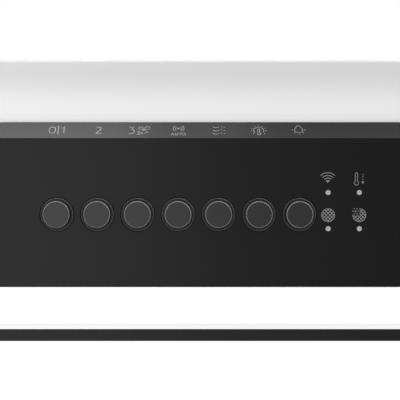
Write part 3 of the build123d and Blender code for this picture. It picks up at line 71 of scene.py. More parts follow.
# Patterns of the finishes: where noise is cut, how it is stretched, and how far tones spread
UNIT = (0.0, 1.0)
CLOUD_RANGE = (0.3, 0.7)
EVEN = (1.0, 1.0, 1.0)
LONG_X = (0.02, 1.0, 1.0)
LONG_Y = (1.0, 0.05, 1.0)
LONG_Z = (1.0, 1.0, 0.1)
NOISE_DETAIL = 3.0
SOFT_CLOUDS = 35.0
PLASTIC_SPREAD = 0.08
METAL_SPREAD = 0.03
RIM_SOFT = 0.00006

# Keys, from left to right
BUTTON_NAMES = (
    "button_speed_one",
    "button_speed_two",
    "button_speed_three",
    "button_auto",
    "button_airflow",
    "button_light_tone",
    "button_lamp",
)

# Finishes that share a way of making. Tones are linear red, green and blue.
PLASTICS_WITH_PAINTED_RIM_HIGHLIGHT = (
    # name, tone, tone of the rim's painted highlight, front and back of the rim along Y, roughness,
    # specular level, worn by
    # the rim tones are painted highlights, standing in for the light that the rounded edges catch
    (
        "button_black", (0.006, 0.006, 0.0062), (0.170, 0.170, 0.170), (-0.28347, -0.28285), 0.30, 0.25,
        BUTTON_NAMES,
    ),
    (
        "bezel_black", (0.020, 0.020, 0.0203), (0.145, 0.145, 0.145), (-0.28047, -0.28020), 0.36, 0.08,
        ("button_bezels",),
    ),
)
BRUSHED_METALS = (
    # name, tone, roughness, width of the lines in mm, stretch, depth in mm, worn by
    (
        "satin_aluminium", (0.78, 0.79, 0.80), 0.32, 0.4, LONG_X, 0.003,
        ("lamp_channel", "left_filter_frame", "right_filter_frame"),
    ),
    (
        "filter_aluminium", (0.66, 0.67, 0.68), 0.36, 0.5, LONG_Y, 0.006,
        ("filter_pads", "left_filter_mesh", "right_filter_mesh"),
    ),
    (
        "bright_steel", (0.66, 0.66, 0.67), 0.22, 0.3, LONG_Z, 0.002,
        (
            "casing_screws",
            "hanging_screws",
            "control_fasteners",
            "hinge_pins",
            "motor_bearings",
            "motor_shaft",
            "damper_axle",
            "strike_plates",
        ),
    ),
)
MOULDED_PLASTICS = (
    # name, tone, roughness, specular level, width of the grain in mm, depth in mm, worn by
    (
        "inner_plastic", (0.045, 0.045, 0.047), 0.48, 0.35, 0.6, 0.010,
        (
            "button_carrier",
            "control_cover",
            "lamp_end_caps",
            "blower_upper_shell",
            "blower_lower_shell",
            "inlet_ring",
            "fan_wheel",
            "outlet_elbow",
            "duct_collar",
            "front_flap",
            "rear_flap",
            "cable_gland",
            "left_filter_latch",
            "right_filter_latch",
        ),
    ),
    ("box_plastic", (0.72, 0.72, 0.70), 0.45, 0.4, 0.6, 0.008, ("power_box", "power_lid")),
    (
        "part_black", (0.03, 0.03, 0.03), 0.5, 0.4, 0.4, 0.006,
        ("board_parts", "power_parts", "key_switches"),
    ),
    ("soft_rubber", (0.04, 0.04, 0.04), 0.75, 0.3, 0.5, 0.02, ("blower_mounts", "return_sleeves")),
    ("magnet_ferrite", (0.07, 0.07, 0.075), 0.55, 0.5, 0.3, 0.010, ("magnet_catches",)),
)
LACQUERED_BOARDS = (
    # name, tone, tone of the tracks, worn by
    ("board_green", (0.02, 0.13, 0.05), (0.05, 0.22, 0.09), ("control_board", "power_board")),
    ("board_white", (0.80, 0.80, 0.78), (0.86, 0.86, 0.84), ("lamp_board", "lamp_lights")),
)

# The band's two printed faces, the front and the chamfer at 45 degrees, with their directions
BAND_FRONT_Y = -0.280
FRONT_UP = (0, 0, 1)
FRONT_OUT = (0, -1, 0)
CHAMFER_MIDDLE = (-0.2756, -0.0365)
SLANT = math.sqrt(0.5)
CHAMFER_UP = (0, SLANT, SLANT)
CHAMFER_OUT = (0, -SLANT, SLANT)
FRONT_MARKS = (
    # name, x and z of its middle
    ("mark_wireless", 0.0639, -0.06275),
    ("mark_temperature", 0.0782, -0.06290),
    ("mark_grease_filter", 0.06405, -0.0793),
    ("mark_carbon_filter", 0.07965, -0.0793),
)

# Print: the ink's thickness, the pens' widths and the round of gauze on the filter marks
PRINT_THICK_MM = 0.08
MERGE_MM = 0.001
FIGURE_PEN_MM = 0.45
FINE_PEN_MM = 0.42
BOW_PEN_MM = 0.40
LIGHT_PEN_MM = 0.36
FAN_PEN_MM = 0.33
WORD_PEN_MM = 0.32
SMALL_PEN_MM = 0.30
THIN_PEN_MM = 0.28
HAIR_PEN_MM = 0.26
WEDGE_PEN_MM = 1.52
ARC_STEP = 12.0
LEAST_STEPS = 2
DOT_CORNERS = 20
GAUZE_RADIUS_MM = 3.22
GAUZE_PITCH_MM = 1.32
GAUZE_LINES = (-1.5, -0.5, 0.5, 1.5)
GAUZE_ANGLES = (45, 135)
GAUZE_SHORTEST_MM = 0.45
BITE_MIDDLE_MM = (-1.90, 1.95)


# Camera, lamps and room
def add_camera():
    """The camera at the photograph's place."""
    bpy.ops.object.camera_add(location=CAMERA_PLACE, rotation=(math.radians(CAMERA_TILT), 0, 0))
    camera = bpy.context.object
    camera.name = "front_camera"
    camera.data.lens = CAMERA_LENS_MM
    camera.data.sensor_width = CAMERA_SENSOR_MM
    camera.data.clip_start = CAMERA_NEAR
    bpy.context.scene.camera = camera


def add_lamp(name, place, target, size, power):
    """A rectangular soft lamp that points at a target."""
    bpy.ops.object.light_add(type="AREA", location=place)
    lamp = bpy.context.object
    lamp.name = name
    lamp.data.shape = "RECTANGLE"
    lamp.data.size, lamp.data.size_y = size
    lamp.data.energy = power
    direction = Vector(target) - Vector(place)
    lamp.rotation_euler = direction.to_track_quat("-Z", "Y").to_euler()
    lamp.visible_camera = False


def white_where_seen(tree):
    """1 for rays from the camera, from gloss and through glass, and 0 for light on the surfaces."""
    path = tree.nodes.new("ShaderNodeLightPath")
    seen = path.outputs["Is Camera Ray"]
    for kind in ("Is Glossy Ray", "Is Transmission Ray"):
        either = tree.nodes.new("ShaderNodeMath")
        either.operation = "MAXIMUM"
        tree.links.new(seen, either.inputs[0])
        tree.links.new(path.outputs[kind], either.inputs[1])
        seen = either.outputs[0]
    return seen


def make_room():
    """A world that is white to the camera and in reflections, with a lower even light on the surfaces."""
    world = bpy.data.worlds.new("white_room")
    bpy.context.scene.world = world
    world.use_nodes = True
    tree = world.node_tree
    tree.nodes.clear()
    output = tree.nodes.new("ShaderNodeOutputWorld")
    mix = tree.nodes.new("ShaderNodeMixShader")
    tree.links.new(white_where_seen(tree), mix.inputs["Fac"])
    for socket, strength in ((1, ROOM_LIGHT), (2, ROOM_WHITE)):
        background = tree.nodes.new("ShaderNodeBackground")
        background.inputs["Color"].default_value = WHITE
        background.inputs["Strength"].default_value = strength
        tree.links.new(background.outputs[0], mix.inputs[socket])
    tree.links.new(mix.outputs[0], output.inputs["Surface"])


# Finishes
class Finish:
    """A material in the making: its shader, and patterns that follow the object's own coordinates."""

    def __init__(self, name, tone, rough, metal=0.0, specular=0.5):
        self.material = bpy.data.materials.new(name)
        self.material.use_nodes = True
        self.tree = self.material.node_tree
        self.shader = self.tree.nodes["Principled BSDF"]
        self.shader.inputs["Base Color"].default_value = (*tone, 1.0)
        self.shader.inputs["Roughness"].default_value = rough
        self.shader.inputs["Metallic"].default_value = metal
        self.shader.inputs["Specular IOR Level"].default_value = specular
        self.place = self.tree.nodes.new("ShaderNodeTexCoord")

    def node(self, kind, **values):
        """A node with some of its input values set."""
        made = self.tree.nodes.new(kind)
        for name, value in values.items():
            made.inputs[name].default_value = value
        return made

    def link(self, source, target):
        """Joins an output to an input."""
        self.tree.links.new(source, target)

    def feed(self, name, source):
        """Lets a pattern set one of the shader's inputs."""
        self.link(source, self.shader.inputs[name])

    def stretched(self, stretch):
        """The object's coordinates, stretched along its axes."""
        mapping = self.node("ShaderNodeMapping", Scale=stretch)
        self.link(self.place.outputs["Object"], mapping.inputs["Vector"])
        return mapping.outputs["Vector"]

    def grain(self, per_metre, stretch=EVEN):
        """Cloudy noise, with this many clouds to the metre before it is stretched."""
        noise = self.node("ShaderNodeTexNoise", Scale=per_metre, Detail=NOISE_DETAIL)
        self.link(self.stretched(stretch), noise.inputs["Vector"])
        return noise.outputs["Fac"]

    def cells(self, per_metre, stretch=EVEN):
        """Patches of random grey, with this many patches to the metre before they are stretched."""
        cells = self.node("ShaderNodeTexVoronoi", Scale=per_metre)
        self.link(self.stretched(stretch), cells.inputs["Vector"])
        return cells.outputs["Color"]

    def axis_of(self, output, axis):
        """One axis of the object's coordinates or of its outward direction."""
        split = self.node("ShaderNodeSeparateXYZ")
        self.link(self.place.outputs[output], split.inputs[0])
        return split.outputs[axis]

    def along(self, axis):
        """The object's own coordinate along an axis."""
        return self.axis_of("Object", axis)

    def facing(self, axis):
        """How far a face looks along an axis of the object, from -1 to 1."""
        return self.axis_of("Normal", axis)

    def calculate(self, operation, *sources):
        """A value worked out from one or two others."""
        made = self.node("ShaderNodeMath")
        made.operation = operation
        for source, socket in zip(sources, made.inputs):
            self.link(source, socket)
        return made.outputs[0]

    def spread(self, source, reach, result=UNIT, smooth=False):
        """A value moved from one range to another."""
        ramp = self.node("ShaderNodeMapRange")
        if smooth:
            ramp.interpolation_type = "SMOOTHSTEP"
        for name, value in zip(("From Min", "From Max", "To Min", "To Max"), (*reach, *result)):
            ramp.inputs[name].default_value = value
        self.link(source, ramp.inputs["Value"])
        return ramp.outputs["Result"]

    def within(self, source, low, high, soft):
        """1 between two values and 0 outside them, with soft ends."""
        above = self.spread(source, (low, low + soft))
        below = self.spread(source, (high - soft, high), result=(1.0, 0.0))
        return self.calculate("MULTIPLY", above, below)

    def blend(self, kind, factor, first, second):
        """A blend of two numbers (FLOAT) or of two colours (RGBA)."""
        mix = self.node("ShaderNodeMix")
        mix.data_type = kind
        for name, source in (("Factor", factor), ("A", first), ("B", second)):
            self.link(source, mix.inputs[name])
        return mix.outputs["Result"]

    def tint(self, source, dark, light, reach=CLOUD_RANGE):
        """A colour between two others."""
        mix = self.node("ShaderNodeMix")
        mix.data_type = "RGBA"
        mix.inputs["A"].default_value = (*dark, 1.0)
        mix.inputs["B"].default_value = (*light, 1.0)
        self.link(self.spread(source, reach), mix.inputs["Factor"])
        return mix.outputs["Result"]

    def colour(self, source, dark, light, reach=CLOUD_RANGE):
        """Lets a pattern move the colour between two tones."""
        self.feed("Base Color", self.tint(source, dark, light, reach))

    def rough(self, source, smooth, coarse, reach=CLOUD_RANGE):
        """Lets a pattern move the roughness."""
        self.feed("Roughness", self.spread(source, reach, result=(smooth, coarse)))

    def relief(self, source, depth_mm):
        """Lets a pattern stand up from the surface by a depth."""
        bump = self.node("ShaderNodeBump", Distance=depth_mm * MM)
        self.link(source, bump.inputs["Height"])
        self.feed("Normal", bump.outputs["Normal"])


def shades(tone, spread):
    """A darker and a lighter tone on both sides of a colour."""
    dark = tuple(part * (1 - spread) for part in tone)
    light = tuple(part * (1 + spread) for part in tone)
    return dark, light


def around(value, spread):
    """A lower and a higher value on both sides of another."""
    return value - spread, value + spread


def moulded(name, tone, rough, specular, grain_mm, depth_mm):
    """Moulded plastic with an even fine grain."""
    finish = Finish(name, tone, rough, specular=specular)
    grain = finish.grain(1 / (grain_mm * MM))
    finish.colour(finish.grain(SOFT_CLOUDS), *shades(tone, PLASTIC_SPREAD))
    finish.rough(grain, *around(rough, spread=0.05))
    finish.relief(grain, depth_mm)
    return finish.material


def plastic_with_painted_rim_highlight(name, tone, highlight_tone, rim, rough, specular):
    """Moulded black plastic whose turned front rim, between two Y coordinates, gets a paler painted
    highlight.
    """
    finish = Finish(name, tone, rough, specular=specular)
    grain = finish.grain(per_metre=4500.0)
    cloud = finish.grain(SOFT_CLOUDS)
    face = finish.tint(cloud, *shades(tone, PLASTIC_SPREAD))
    # painted highlight: the rim's paler tone stands in for the light that its rounded edge catches
    edge = finish.tint(cloud, *shades(highlight_tone, PLASTIC_SPREAD))
    painted_highlight_band = finish.within(finish.along("Y"), *rim, RIM_SOFT)
    finish.feed("Base Color", finish.blend("RGBA", painted_highlight_band, face, edge))
    finish.rough(grain, *around(rough, spread=0.04))
    finish.relief(grain, depth_mm=0.004)
    return finish.material


def brushed(name, tone, rough, lines_mm, stretch, depth_mm):
    """Brushed metal: fine long scratches along one direction."""
    finish = Finish(name, tone, rough, metal=1.0)
    lines = finish.grain(1 / (lines_mm * MM), stretch)
    finish.colour(lines, *shades(tone, METAL_SPREAD))
    finish.rough(lines, *around(rough, spread=0.06))
    finish.relief(lines, depth_mm)
    return finish.material


def lacquered_board(name, tone, track_tone):
    """A lacquered circuit board with paler tracks under the lacquer."""
    finish = Finish(name, tone, rough=0.35)
    tracks = finish.cells(per_metre=260.0, stretch=(1.0, 1.0, 0.15))
    finish.colour(tracks, tone, track_tone, reach=(0.35, 0.65))
    finish.relief(tracks, depth_mm=0.02)
    return finish.material


def casing_steel():
    """Pale satin lacquer on steel with the sheet's brushed lines showing, and a painted reflection that
    makes it darker towards the top.
    """
    finish = Finish("casing_steel", tone=(0.80, 0.80, 0.795), rough=0.42, specular=0.12)
    lines = finish.grain(per_metre=2600.0, stretch=LONG_X)
    # painted reflection: the tone blends from the paler lower tone to a darker tone near the top, standing
    # in for the room's soft reflection
    painted_reflection_ramp = finish.spread(finish.along("Z"), reach=(-0.026, -0.006), smooth=True)
    lower_tone = finish.tint(lines, dark=(0.785, 0.785, 0.781), light=(0.800, 0.800, 0.796))
    dim_reflection_tone = finish.tint(lines, dark=(0.610, 0.610, 0.607), light=(0.622, 0.622, 0.619))
    finish.feed("Base Color", finish.blend("RGBA", painted_reflection_ramp, lower_tone, dim_reflection_tone))
    finish.rough(lines, smooth=0.38, coarse=0.46)
    finish.relief(lines, depth_mm=0.002)
    return finish.material


def band_black():
    """Satin black enamel with a faint even texture, smoother on the slanted edge that looks up."""
    tone = (0.0020, 0.0020, 0.0021)
    finish = Finish("band_black", tone, rough=0.30, specular=0.12)
    texture = finish.grain(per_metre=1900.0)
    finish.colour(finish.grain(per_metre=24.0), *shades(tone, spread=0.10))
    looks_up = finish.spread(finish.facing("Z"), reach=(0.3, 0.6))
    upright = finish.spread(texture, CLOUD_RANGE, result=(0.28, 0.33))
    slanted = finish.spread(texture, CLOUD_RANGE, result=(0.18, 0.22))
    finish.feed("Roughness", finish.blend("FLOAT", looks_up, upright, slanted))
    finish.relief(texture, depth_mm=0.003)
    return finish.material


def glass_black():
    """Black glass: polished faces and satin ground edges."""
    tone = (0.0055, 0.0055, 0.0058)
    finish = Finish("glass_black", tone, rough=0.05, specular=0.13)
    level = finish.calculate("ABSOLUTE", finish.facing("Z"))
    finish.feed("Roughness", finish.spread(level, reach=(0.2, 0.8), result=(0.36, 0.045)))
    finish.colour(finish.grain(per_metre=18.0), *shades(tone, spread=0.10))
    return finish.material


def opal_cover():
    """Opal plastic lit from behind, a little dimmer along its upper edge."""
    finish = Finish("opal_cover", tone=(0.85, 0.85, 0.84), rough=0.30)
    finish.shader.inputs["Emission Color"].default_value = WHITE
    glow = finish.spread(finish.along("Z"), reach=(-0.1190, -0.1174), result=(1.85, 0.50), smooth=True)
    finish.feed("Emission Strength", glow)
    return finish.material


def zinc_steel():
    """Zinc coated sheet with its frosty patches."""
    tone = (0.40, 0.41, 0.42)
    rough = 0.42
    finish = Finish("zinc_steel", tone, rough, metal=1.0)
    patches = finish.cells(per_metre=240.0)
    finish.colour(patches, *shades(tone, spread=0.06), reach=UNIT)
    finish.rough(patches, *around(rough, spread=0.05), reach=UNIT)
    finish.relief(finish.grain(per_metre=900.0), depth_mm=0.002)
    return finish.material


def carbon_granules():
    """Carbon granules packed in a drum."""
    tone = (0.03, 0.03, 0.03)
    finish = Finish("carbon_granules", tone, rough=0.75)
    patches = finish.cells(per_metre=420.0)
    finish.colour(patches, *shades(tone, spread=0.6), reach=UNIT)
    finish.relief(patches, depth_mm=0.6)
    return finish.material


def core_iron():
    """A stack of thin iron sheets, seen as fine level lines."""
    tone = (0.30, 0.28, 0.26)
    finish = Finish("core_iron", tone, rough=0.45, metal=1.0)
    lines = finish.grain(per_metre=1800.0, stretch=(0.02, 0.02, 1.0))
    finish.colour(lines, *shades(tone, spread=0.25))
    finish.relief(lines, depth_mm=0.03)
    return finish.material


def frosted_pipe():
    """Frosted clear plastic at the ends of the light pipes."""
    finish = Finish("frosted_pipe", tone=(0.34, 0.34, 0.34), rough=0.35)
    cloud = finish.grain(per_metre=2500.0)
    finish.colour(cloud, dark=(0.33, 0.33, 0.33), light=(0.36, 0.36, 0.36))
    finish.relief(cloud, depth_mm=0.004)
    return finish.material


def print_grey():
    """Grey screen printing ink."""
    finish = Finish("print_grey", tone=(0.17, 0.17, 0.17), rough=0.23, specular=0.27)
    grain = finish.grain(per_metre=5000.0)
    finish.colour(grain, dark=(0.165, 0.165, 0.165), light=(0.180, 0.180, 0.180))
    finish.relief(grain, depth_mm=0.004)
    return finish.material


def floor_pale():
    """A pale surface that lights up a little where it is seen, and fades out towards the floor's rim."""
    finish = Finish("floor_pale", tone=(0.80, 0.80, 0.80), rough=0.9, specular=0.1)
    finish.colour(finish.grain(per_metre=3.0), dark=(0.79, 0.79, 0.79), light=(0.81, 0.81, 0.81))
    finish.shader.inputs["Emission Color"].default_value = WHITE
    glow = finish.spread(white_where_seen(finish.tree), UNIT, result=(0.0, FLOOR_GLOW))
    finish.feed("Emission Strength", glow)
    distance = finish.node("ShaderNodeVectorMath")
    distance.operation = "LENGTH"
    finish.link(finish.place.outputs["Object"], distance.inputs[0])
    fade = finish.spread(distance.outputs["Value"], FLOOR_FADE, smooth=True)
    clear = finish.node("ShaderNodeBsdfTransparent")
    mix = finish.node("ShaderNodeMixShader")
    for source, socket in zip((fade, finish.shader.outputs[0], clear.outputs[0]), mix.inputs):
        finish.link(source, socket)
    finish.link(mix.outputs[0], finish.tree.nodes["Material Output"].inputs["Surface"])
    return finish.material


def dress(material, *names):
    """Gives a finish to some of the frame's nodes."""
    for name in names:
        slots = nodes[name].data.materials
        slots.clear()
        slots.append(material)


def dress_everything():
    """The finish of every node."""
    dress(casing_steel(), "upper_casing")
    dress(band_black(), "front_fascia", "canopy_frame")
    dress(glass_black(), "glass_panel")
    dress(opal_cover(), "lamp_diffuser")
    dress(frosted_pipe(), "indicator_pipes")
    dress(zinc_steel(), "filter_deck", "panel_tray", "hinge_brackets", "hinge_leaves")
    dress(core_iron(), "motor_core")
    dress(carbon_granules(), "carbon_filter")
    shared = (
        (plastic_with_painted_rim_highlight, PLASTICS_WITH_PAINTED_RIM_HIGHLIGHT),
        (brushed, BRUSHED_METALS),
        (moulded, MOULDED_PLASTICS),
        (lacquered_board, LACQUERED_BOARDS),
    )
    for make, table in shared:
        for *values, names in table:
            dress(make(*values), *names)


# Drawing tools for the printed marks. They draw flat, in millimetres, in the mesh that is open.
def start_mark(name):
    """A new flat drawing, open for strokes."""
    bpy.ops.object.select_all(action="DESELECT")
    bpy.ops.mesh.primitive_plane_add(size=1)
    mark = bpy.context.object
    mark.name = name
    bpy.ops.object.mode_set(mode="EDIT")
    bpy.ops.mesh.delete(type="VERT")
    return mark


def stroke(x, y, heading, moves, pen):
    """A line of even width. A move is a straight run, (length,), or a turn to the left, (radius, angle)."""
    drawing = bpy.context.object.data
    turn = math.radians(heading)
    ahead = Vector((math.cos(turn), math.sin(turn), 0))
    tip = Vector((x, y, 0))
    behind = tip - ahead * pen / 2
    # the front side of a small square is the pen's tip, and the rest of the square goes
    bpy.ops.mesh.primitive_plane_add(size=pen, location=behind, rotation=(0, 0, turn))
    drawn = bmesh.from_edit_mesh(drawing)
    for corner in drawn.verts:
        corner.select = corner.select and (corner.co - behind).dot(ahead) < 0
    drawn.select_flush_mode()
    bmesh.update_edit_mesh(drawing)
    bpy.ops.mesh.delete(type="VERT")
    drawn = bmesh.from_edit_mesh(drawing)
    for edge in drawn.edges:
        edge.select_set(not edge.link_faces)
    bmesh.update_edit_mesh(drawing)
    for move in moves:
        ahead = Vector((math.cos(turn), math.sin(turn), 0))
        if len(move) == 1:
            bpy.ops.mesh.extrude_region_move(TRANSFORM_OT_translate={"value": ahead * move[0]})
            tip = tip + ahead * move[0]
            continue
        radius, angle = move
        side = Vector((-ahead.y, ahead.x, 0)) * math.copysign(radius, angle)
        centre = tip + side
        steps = max(LEAST_STEPS, round(abs(angle) / ARC_STEP))
        bpy.ops.mesh.spin(steps=steps, angle=-math.radians(angle), center=centre, axis=(0, 0, 1))
        turn += math.radians(angle)
        tip = centre + Matrix.Rotation(math.radians(angle), 3, "Z") @ -side


def line(start_x, start_y, end_x, end_y, pen):
    """A straight line between two points."""
    run_x = end_x - start_x
    run_y = end_y - start_y
    heading = math.degrees(math.atan2(run_y, run_x))
    stroke(start_x, start_y, heading, [(math.hypot(run_x, run_y),)], pen)


def oval(x, y, half_width, half_height, end_radius, pen):
    """An upright oval of four curves."""
    rise = half_height - end_radius
    side_radius = (end_radius**2 - half_width**2 - rise**2) / (2 * (end_radius - half_width))
    side_turn = math.degrees(math.atan2(rise, side_radius - half_width))
    end = (end_radius, 180 - 2 * side_turn)
    half_side = (side_radius, side_turn)
    stroke(x + half_width, y, 90, [half_side, end, (side_radius, 2 * side_turn), end, half_side], pen)


def arc(x, y, radius, start, end, pen):
    """A part of a ring round a middle point, from one angle to another."""
    first = math.radians(start)
    heading = start + math.copysign(90, end - start)
    start_x = x + radius * math.cos(first)
    start_y = y + radius * math.sin(first)
    stroke(start_x, start_y, heading, [(radius, end - start)], pen)


def arcs(x, y, radii, spans, pen):
    """Parts of several rings round one middle point."""
    for radius in radii:
        for start, end in spans:
            arc(x, y, radius, start, end, pen)


def rays(x, y, inner, outer, angles, pen):
    """Short lines that point away from a middle point."""
    length = outer - inner - pen / 2
    for angle in angles:
        turn = math.radians(angle)
        stroke(x + inner * math.cos(turn), y + inner * math.sin(turn), angle, [(length,)], pen)


def blade(x, y, direction, reach, radius, pen):
    """A drop outline: pointed at one end, round about a middle point that lies as far as the reach."""
    opening = math.degrees(math.asin(radius / reach))
    side = (math.sqrt(reach**2 - radius**2),)
    stroke(x, y, direction - opening, [side, (radius, 180 + 2 * opening), side], pen)


def dot(x, y, radius):
    """A filled round dot."""
    bpy.ops.mesh.primitive_circle_add(
        vertices=DOT_CORNERS, radius=radius, fill_type="NGON", location=(x, y, 0)
    )


def dot_ring(x, y, ring_radius, count, radius):
    """Dots evenly round a middle point."""
    for step in range(count):
        turn = math.radians(360 / count * step)
        dot(x + ring_radius * math.cos(turn), y + ring_radius * math.sin(turn), radius)


def arrow_head(x, y, radius):
    """A filled triangle that points down."""
    bpy.ops.mesh.primitive_circle_add(
        vertices=3, radius=radius, fill_type="NGON", location=(x, y, 0), rotation=(0, 0, math.radians(180))
    )


def at_levels(levels, rows):
    """The same rows of a drawing at several heights."""
    for level in levels:
        for tool, x, y, *values in rows:
            tool(x, level + y, *values)


def gauze(hole):
    """Crossing lines inside a round, left out where they meet a round hole (its middle and radius)."""
    for angle in GAUZE_ANGLES:
        turn = math.radians(angle)
        along = Vector((math.cos(turn), math.sin(turn)))
        for place in GAUZE_LINES:
            across = Vector((-along.y, along.x)) * place * GAUZE_PITCH_MM
            reach = math.sqrt(GAUZE_RADIUS_MM**2 - across.length_squared)
            spans = [(-reach, reach)]
            if hole:
                *hole_middle, hole_radius = hole
                middle = Vector(hole_middle) - across
                near = middle.dot(along)
                aside = (middle - along * near).length
                half = math.sqrt(max(hole_radius**2 - aside**2, 0))
                spans = [(-reach, min(near - half, reach)), (max(near + half, -reach), reach)]
            for low, high in spans:
                if high - low > GAUZE_SHORTEST_MM:
                    start = across + along * low
                    stroke(start.x, start.y, angle, [(high - low,)], FINE_PEN_MM)


# The printed marks, in millimetres and degrees. Each row is a drawing tool and the values it takes.
MARKS = {
    # off and the first speed: a nought, a bar and the figure 1
    "mark_speed_one": (
        (oval, -2.87, 0.08, 1.62, 2.36, 1.40, FIGURE_PEN_MM),
        (line, 0.05, -3.2, 0.05, 3.2, FIGURE_PEN_MM),
        (line, 2.95, -2.35, 3.12, 2.7, FIGURE_PEN_MM),
        (line, 1.65, 1.45, 3.10, 2.45, FIGURE_PEN_MM),
    ),
    # the second speed: the figure 2
    "mark_speed_two": (
        (stroke, -0.95, 2.13, 8, ((1.0,), (1.15, -134), (3.50,)), FIGURE_PEN_MM),
        (line, -1.30, -2.45, 1.75, -2.45, FIGURE_PEN_MM),
    ),
    # the third speed: the figure 3 with a flat top, a small fan, and 2x for twice its speed
    "mark_speed_three": (
        (stroke, -4.62, 2.25, 0, ((2.05,), (0.26, -128), (1.60,)), BOW_PEN_MM),
        (stroke, -3.50, 0.55, 0, ((1.60, -200), (0.80,)), FINE_PEN_MM),
        (blade, 2.85, -0.12, 136, 2.38, 1.00, FAN_PEN_MM),
        (blade, 2.85, -0.12, 46, 2.40, 1.12, FAN_PEN_MM),
        (dot, 2.85, -0.12, 0.42),
        (stroke, 3.32, -2.70, 62, ((1.40,), (0.38, -128), (0.80,)), FAN_PEN_MM),
        (stroke, -0.40, -1.30, 70, ((0.58, -200), (1.60,)), SMALL_PEN_MM),
        (line, -0.60, -3.10, 0.92, -3.10, SMALL_PEN_MM),
        (line, 1.28, -1.55, 2.50, -3.10, THIN_PEN_MM),
        (line, 1.28, -3.10, 2.50, -1.55, THIN_PEN_MM),
    ),
    # automatic running: a sensor with waves on both sides, and the word AUTO under it
    "mark_auto": (
        (dot, 0.12, 1.25, 0.56),
        (arcs, 0.12, 1.25, (1.55, 2.70), ((-50, 50), (130, 230)), LIGHT_PEN_MM),
        (line, -3.58, -3.85, -2.80, -2.00, THIN_PEN_MM),
        (line, -2.02, -3.85, -2.80, -2.00, THIN_PEN_MM),
        (line, -3.20, -3.35, -2.40, -3.35, HAIR_PEN_MM),
        (stroke, -1.52, -2.00, -90, ((1.10,), (0.62, 180), (1.10,)), WORD_PEN_MM),
        (line, 0.26, -2.15, 1.68, -2.15, WORD_PEN_MM),
        (line, 1.00, -2.15, 1.00, -3.85, WORD_PEN_MM),
        (arc, 2.80, -2.90, 0.86, 0, 360, WORD_PEN_MM),
    ),
    # clean air: three waves that break up into dots
    "mark_airflow": (
        (
            at_levels,
            (2.48, 0.0, -2.48),
            (
                (stroke, -2.85, 0.28, -54, ((2.12, 100),), LIGHT_PEN_MM),
                (dot, 1.68, 0.26, 0.30),
                (dot, 3.05, -0.28, 0.30),
            ),
        ),
    ),
    # colour of the light: a lit dome with a thermometer
    "mark_light_tone": (
        (arc, 0.18, -0.28, 2.5, 220, -40, LIGHT_PEN_MM),
        (rays, 0.18, -0.28, 3.42, 4.14, (-37, -2, 28, 61, 91, 121, 152, 182, 218), FINE_PEN_MM),
        (stroke, -0.23, -2.02, 90, ((2.57,), (0.43, -180), (2.57,)), LIGHT_PEN_MM),
        (arc, 0.2, -2.75, 0.86, 58, -238, BOW_PEN_MM),
    ),
    # the lamp: a bulb with rays under it
    "mark_lamp": (
        (
            stroke, 0.1, -1.65, 0,
            ((3.0, 25), (1.4, 80), (9.26, 22), (0.60, 106), (9.26, 22), (1.4, 80), (3.0, 25)),
            LIGHT_PEN_MM,
        ),
        (line, -2.75, 0.30, -3.45, 0.05, LIGHT_PEN_MM),
        (line, -1.85, -1.80, -2.35, -2.55, LIGHT_PEN_MM),
        (line, 0.25, -2.75, 0.25, -3.4, LIGHT_PEN_MM),
        (line, 2.05, -1.80, 2.60, -2.50, LIGHT_PEN_MM),
        (line, 3.00, 0.35, 3.70, 0.05, LIGHT_PEN_MM),
    ),
    # the radio link: three waves over a wedge, which is an arc as wide as it is far from its middle
    "mark_wireless": (
        (arcs, 0.0, -0.41, (5.13, 3.74, 2.44), ((45, 135),), FINE_PEN_MM),
        (arc, 0.0, -0.41, 0.76, 45, 135, WEDGE_PEN_MM),
    ),
    # cooling down: a thermometer with a falling dotted arrow
    "mark_temperature": (
        (stroke, -0.54, 0.61, 90, ((3.70,), (0.54, -180), (3.70,)), LIGHT_PEN_MM),
        (arc, 0.0, -0.30, 1.06, 60, -240, LIGHT_PEN_MM),
        (at_levels, (3.90, 2.66, 1.42), ((dot, 3.25, 0.0, 0.28),)),
        (arrow_head, 3.25, 0.00, 0.90),
    ),
    # the grease filter: a round of gauze
    "mark_grease_filter": (
        (arc, 0.0, 0.0, GAUZE_RADIUS_MM, 0, 360, FINE_PEN_MM),
        (gauze, None),
    ),
    # the carbon filter: the same round, with specks in a bite out of it
    "mark_carbon_filter": (
        (arc, 0.0, 0.0, GAUZE_RADIUS_MM, 90, -184, FINE_PEN_MM),
        (gauze, (*BITE_MIDDLE_MM, 2.25)),
        (dot, *BITE_MIDDLE_MM, 0.44),
        (dot_ring, *BITE_MIDDLE_MM, 1.40, 6, 0.30),
    ),
}


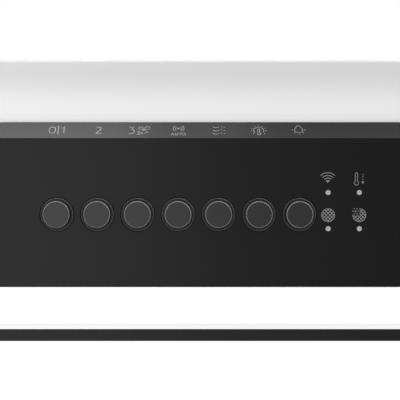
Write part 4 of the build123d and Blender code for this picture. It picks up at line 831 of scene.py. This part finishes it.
def lay_mark(mark, middle, up, out, material):
    """Gives a drawing its thickness and lays it on a face of the band."""
    bpy.ops.mesh.select_all(action="SELECT")
    bpy.ops.mesh.remove_doubles(threshold=MERGE_MM)
    bpy.ops.mesh.normals_make_consistent(inside=False)
    bpy.ops.object.mode_set(mode="OBJECT")
    bpy.ops.object.select_all(action="DESELECT")
    mark.select_set(True)
    bpy.context.view_layer.objects.active = mark
    wall = mark.modifiers.new("print_thickness", "SOLIDIFY")
    wall.thickness = PRINT_THICK_MM
    wall.offset = 0
    bpy.ops.object.modifier_apply(modifier=wall.name)
    bpy.ops.object.mode_set(mode="EDIT")
    bpy.ops.mesh.select_all(action="SELECT")
    bpy.ops.mesh.normals_make_consistent(inside=False)
    bpy.ops.mesh.intersect_boolean(operation="UNION", use_self=True, solver="EXACT")
    bpy.ops.object.mode_set(mode="OBJECT")
    right = Vector(up).cross(Vector(out))
    columns = [Vector(direction) for direction in (right, up, out)]
    turned = Matrix(columns).transposed().to_4x4()
    mark.matrix_world = Matrix.Translation(middle) @ turned @ Matrix.Scale(MM, 4)
    bpy.ops.object.transform_apply(location=True, rotation=True, scale=True)
    mark.data.materials.clear()
    mark.data.materials.append(material)
    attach(mark, "hood")


def print_mark(name, middle, up, out, ink):
    """Draws a mark and lays it on a face of the band."""
    mark = start_mark(name)
    for tool, *values in MARKS[name]:
        tool(*values)
    lay_mark(mark, middle, up, out, ink)


def print_marks():
    """Every mark on the slanted edge, over its key, and on the front of the band."""
    ink = print_grey()
    for name in BUTTON_NAMES:
        low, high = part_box(name)
        middle = ((low.x + high.x) / 2, *CHAMFER_MIDDLE)
        print_mark(name.replace("button", "mark"), middle, CHAMFER_UP, CHAMFER_OUT, ink)
    for name, x, z in FRONT_MARKS:
        print_mark(name, (x, BAND_FRONT_Y, z), FRONT_UP, FRONT_OUT, ink)


def add_floor():
    """A pale round floor that fades into the white room at its rim."""
    bpy.ops.mesh.primitive_circle_add(
        vertices=FLOOR_CORNERS, radius=FLOOR_RADIUS, fill_type="NGON", location=(0, 0, FLOOR_Z)
    )
    floor = bpy.context.object
    floor.name = "floor"
    floor.data.materials.append(floor_pale())


bpy.context.scene.view_settings.view_transform = "Standard"
add_camera()
make_room()
for lamp in LAMPS:
    add_lamp(*lamp)
dress_everything()
print_marks()
add_floor()
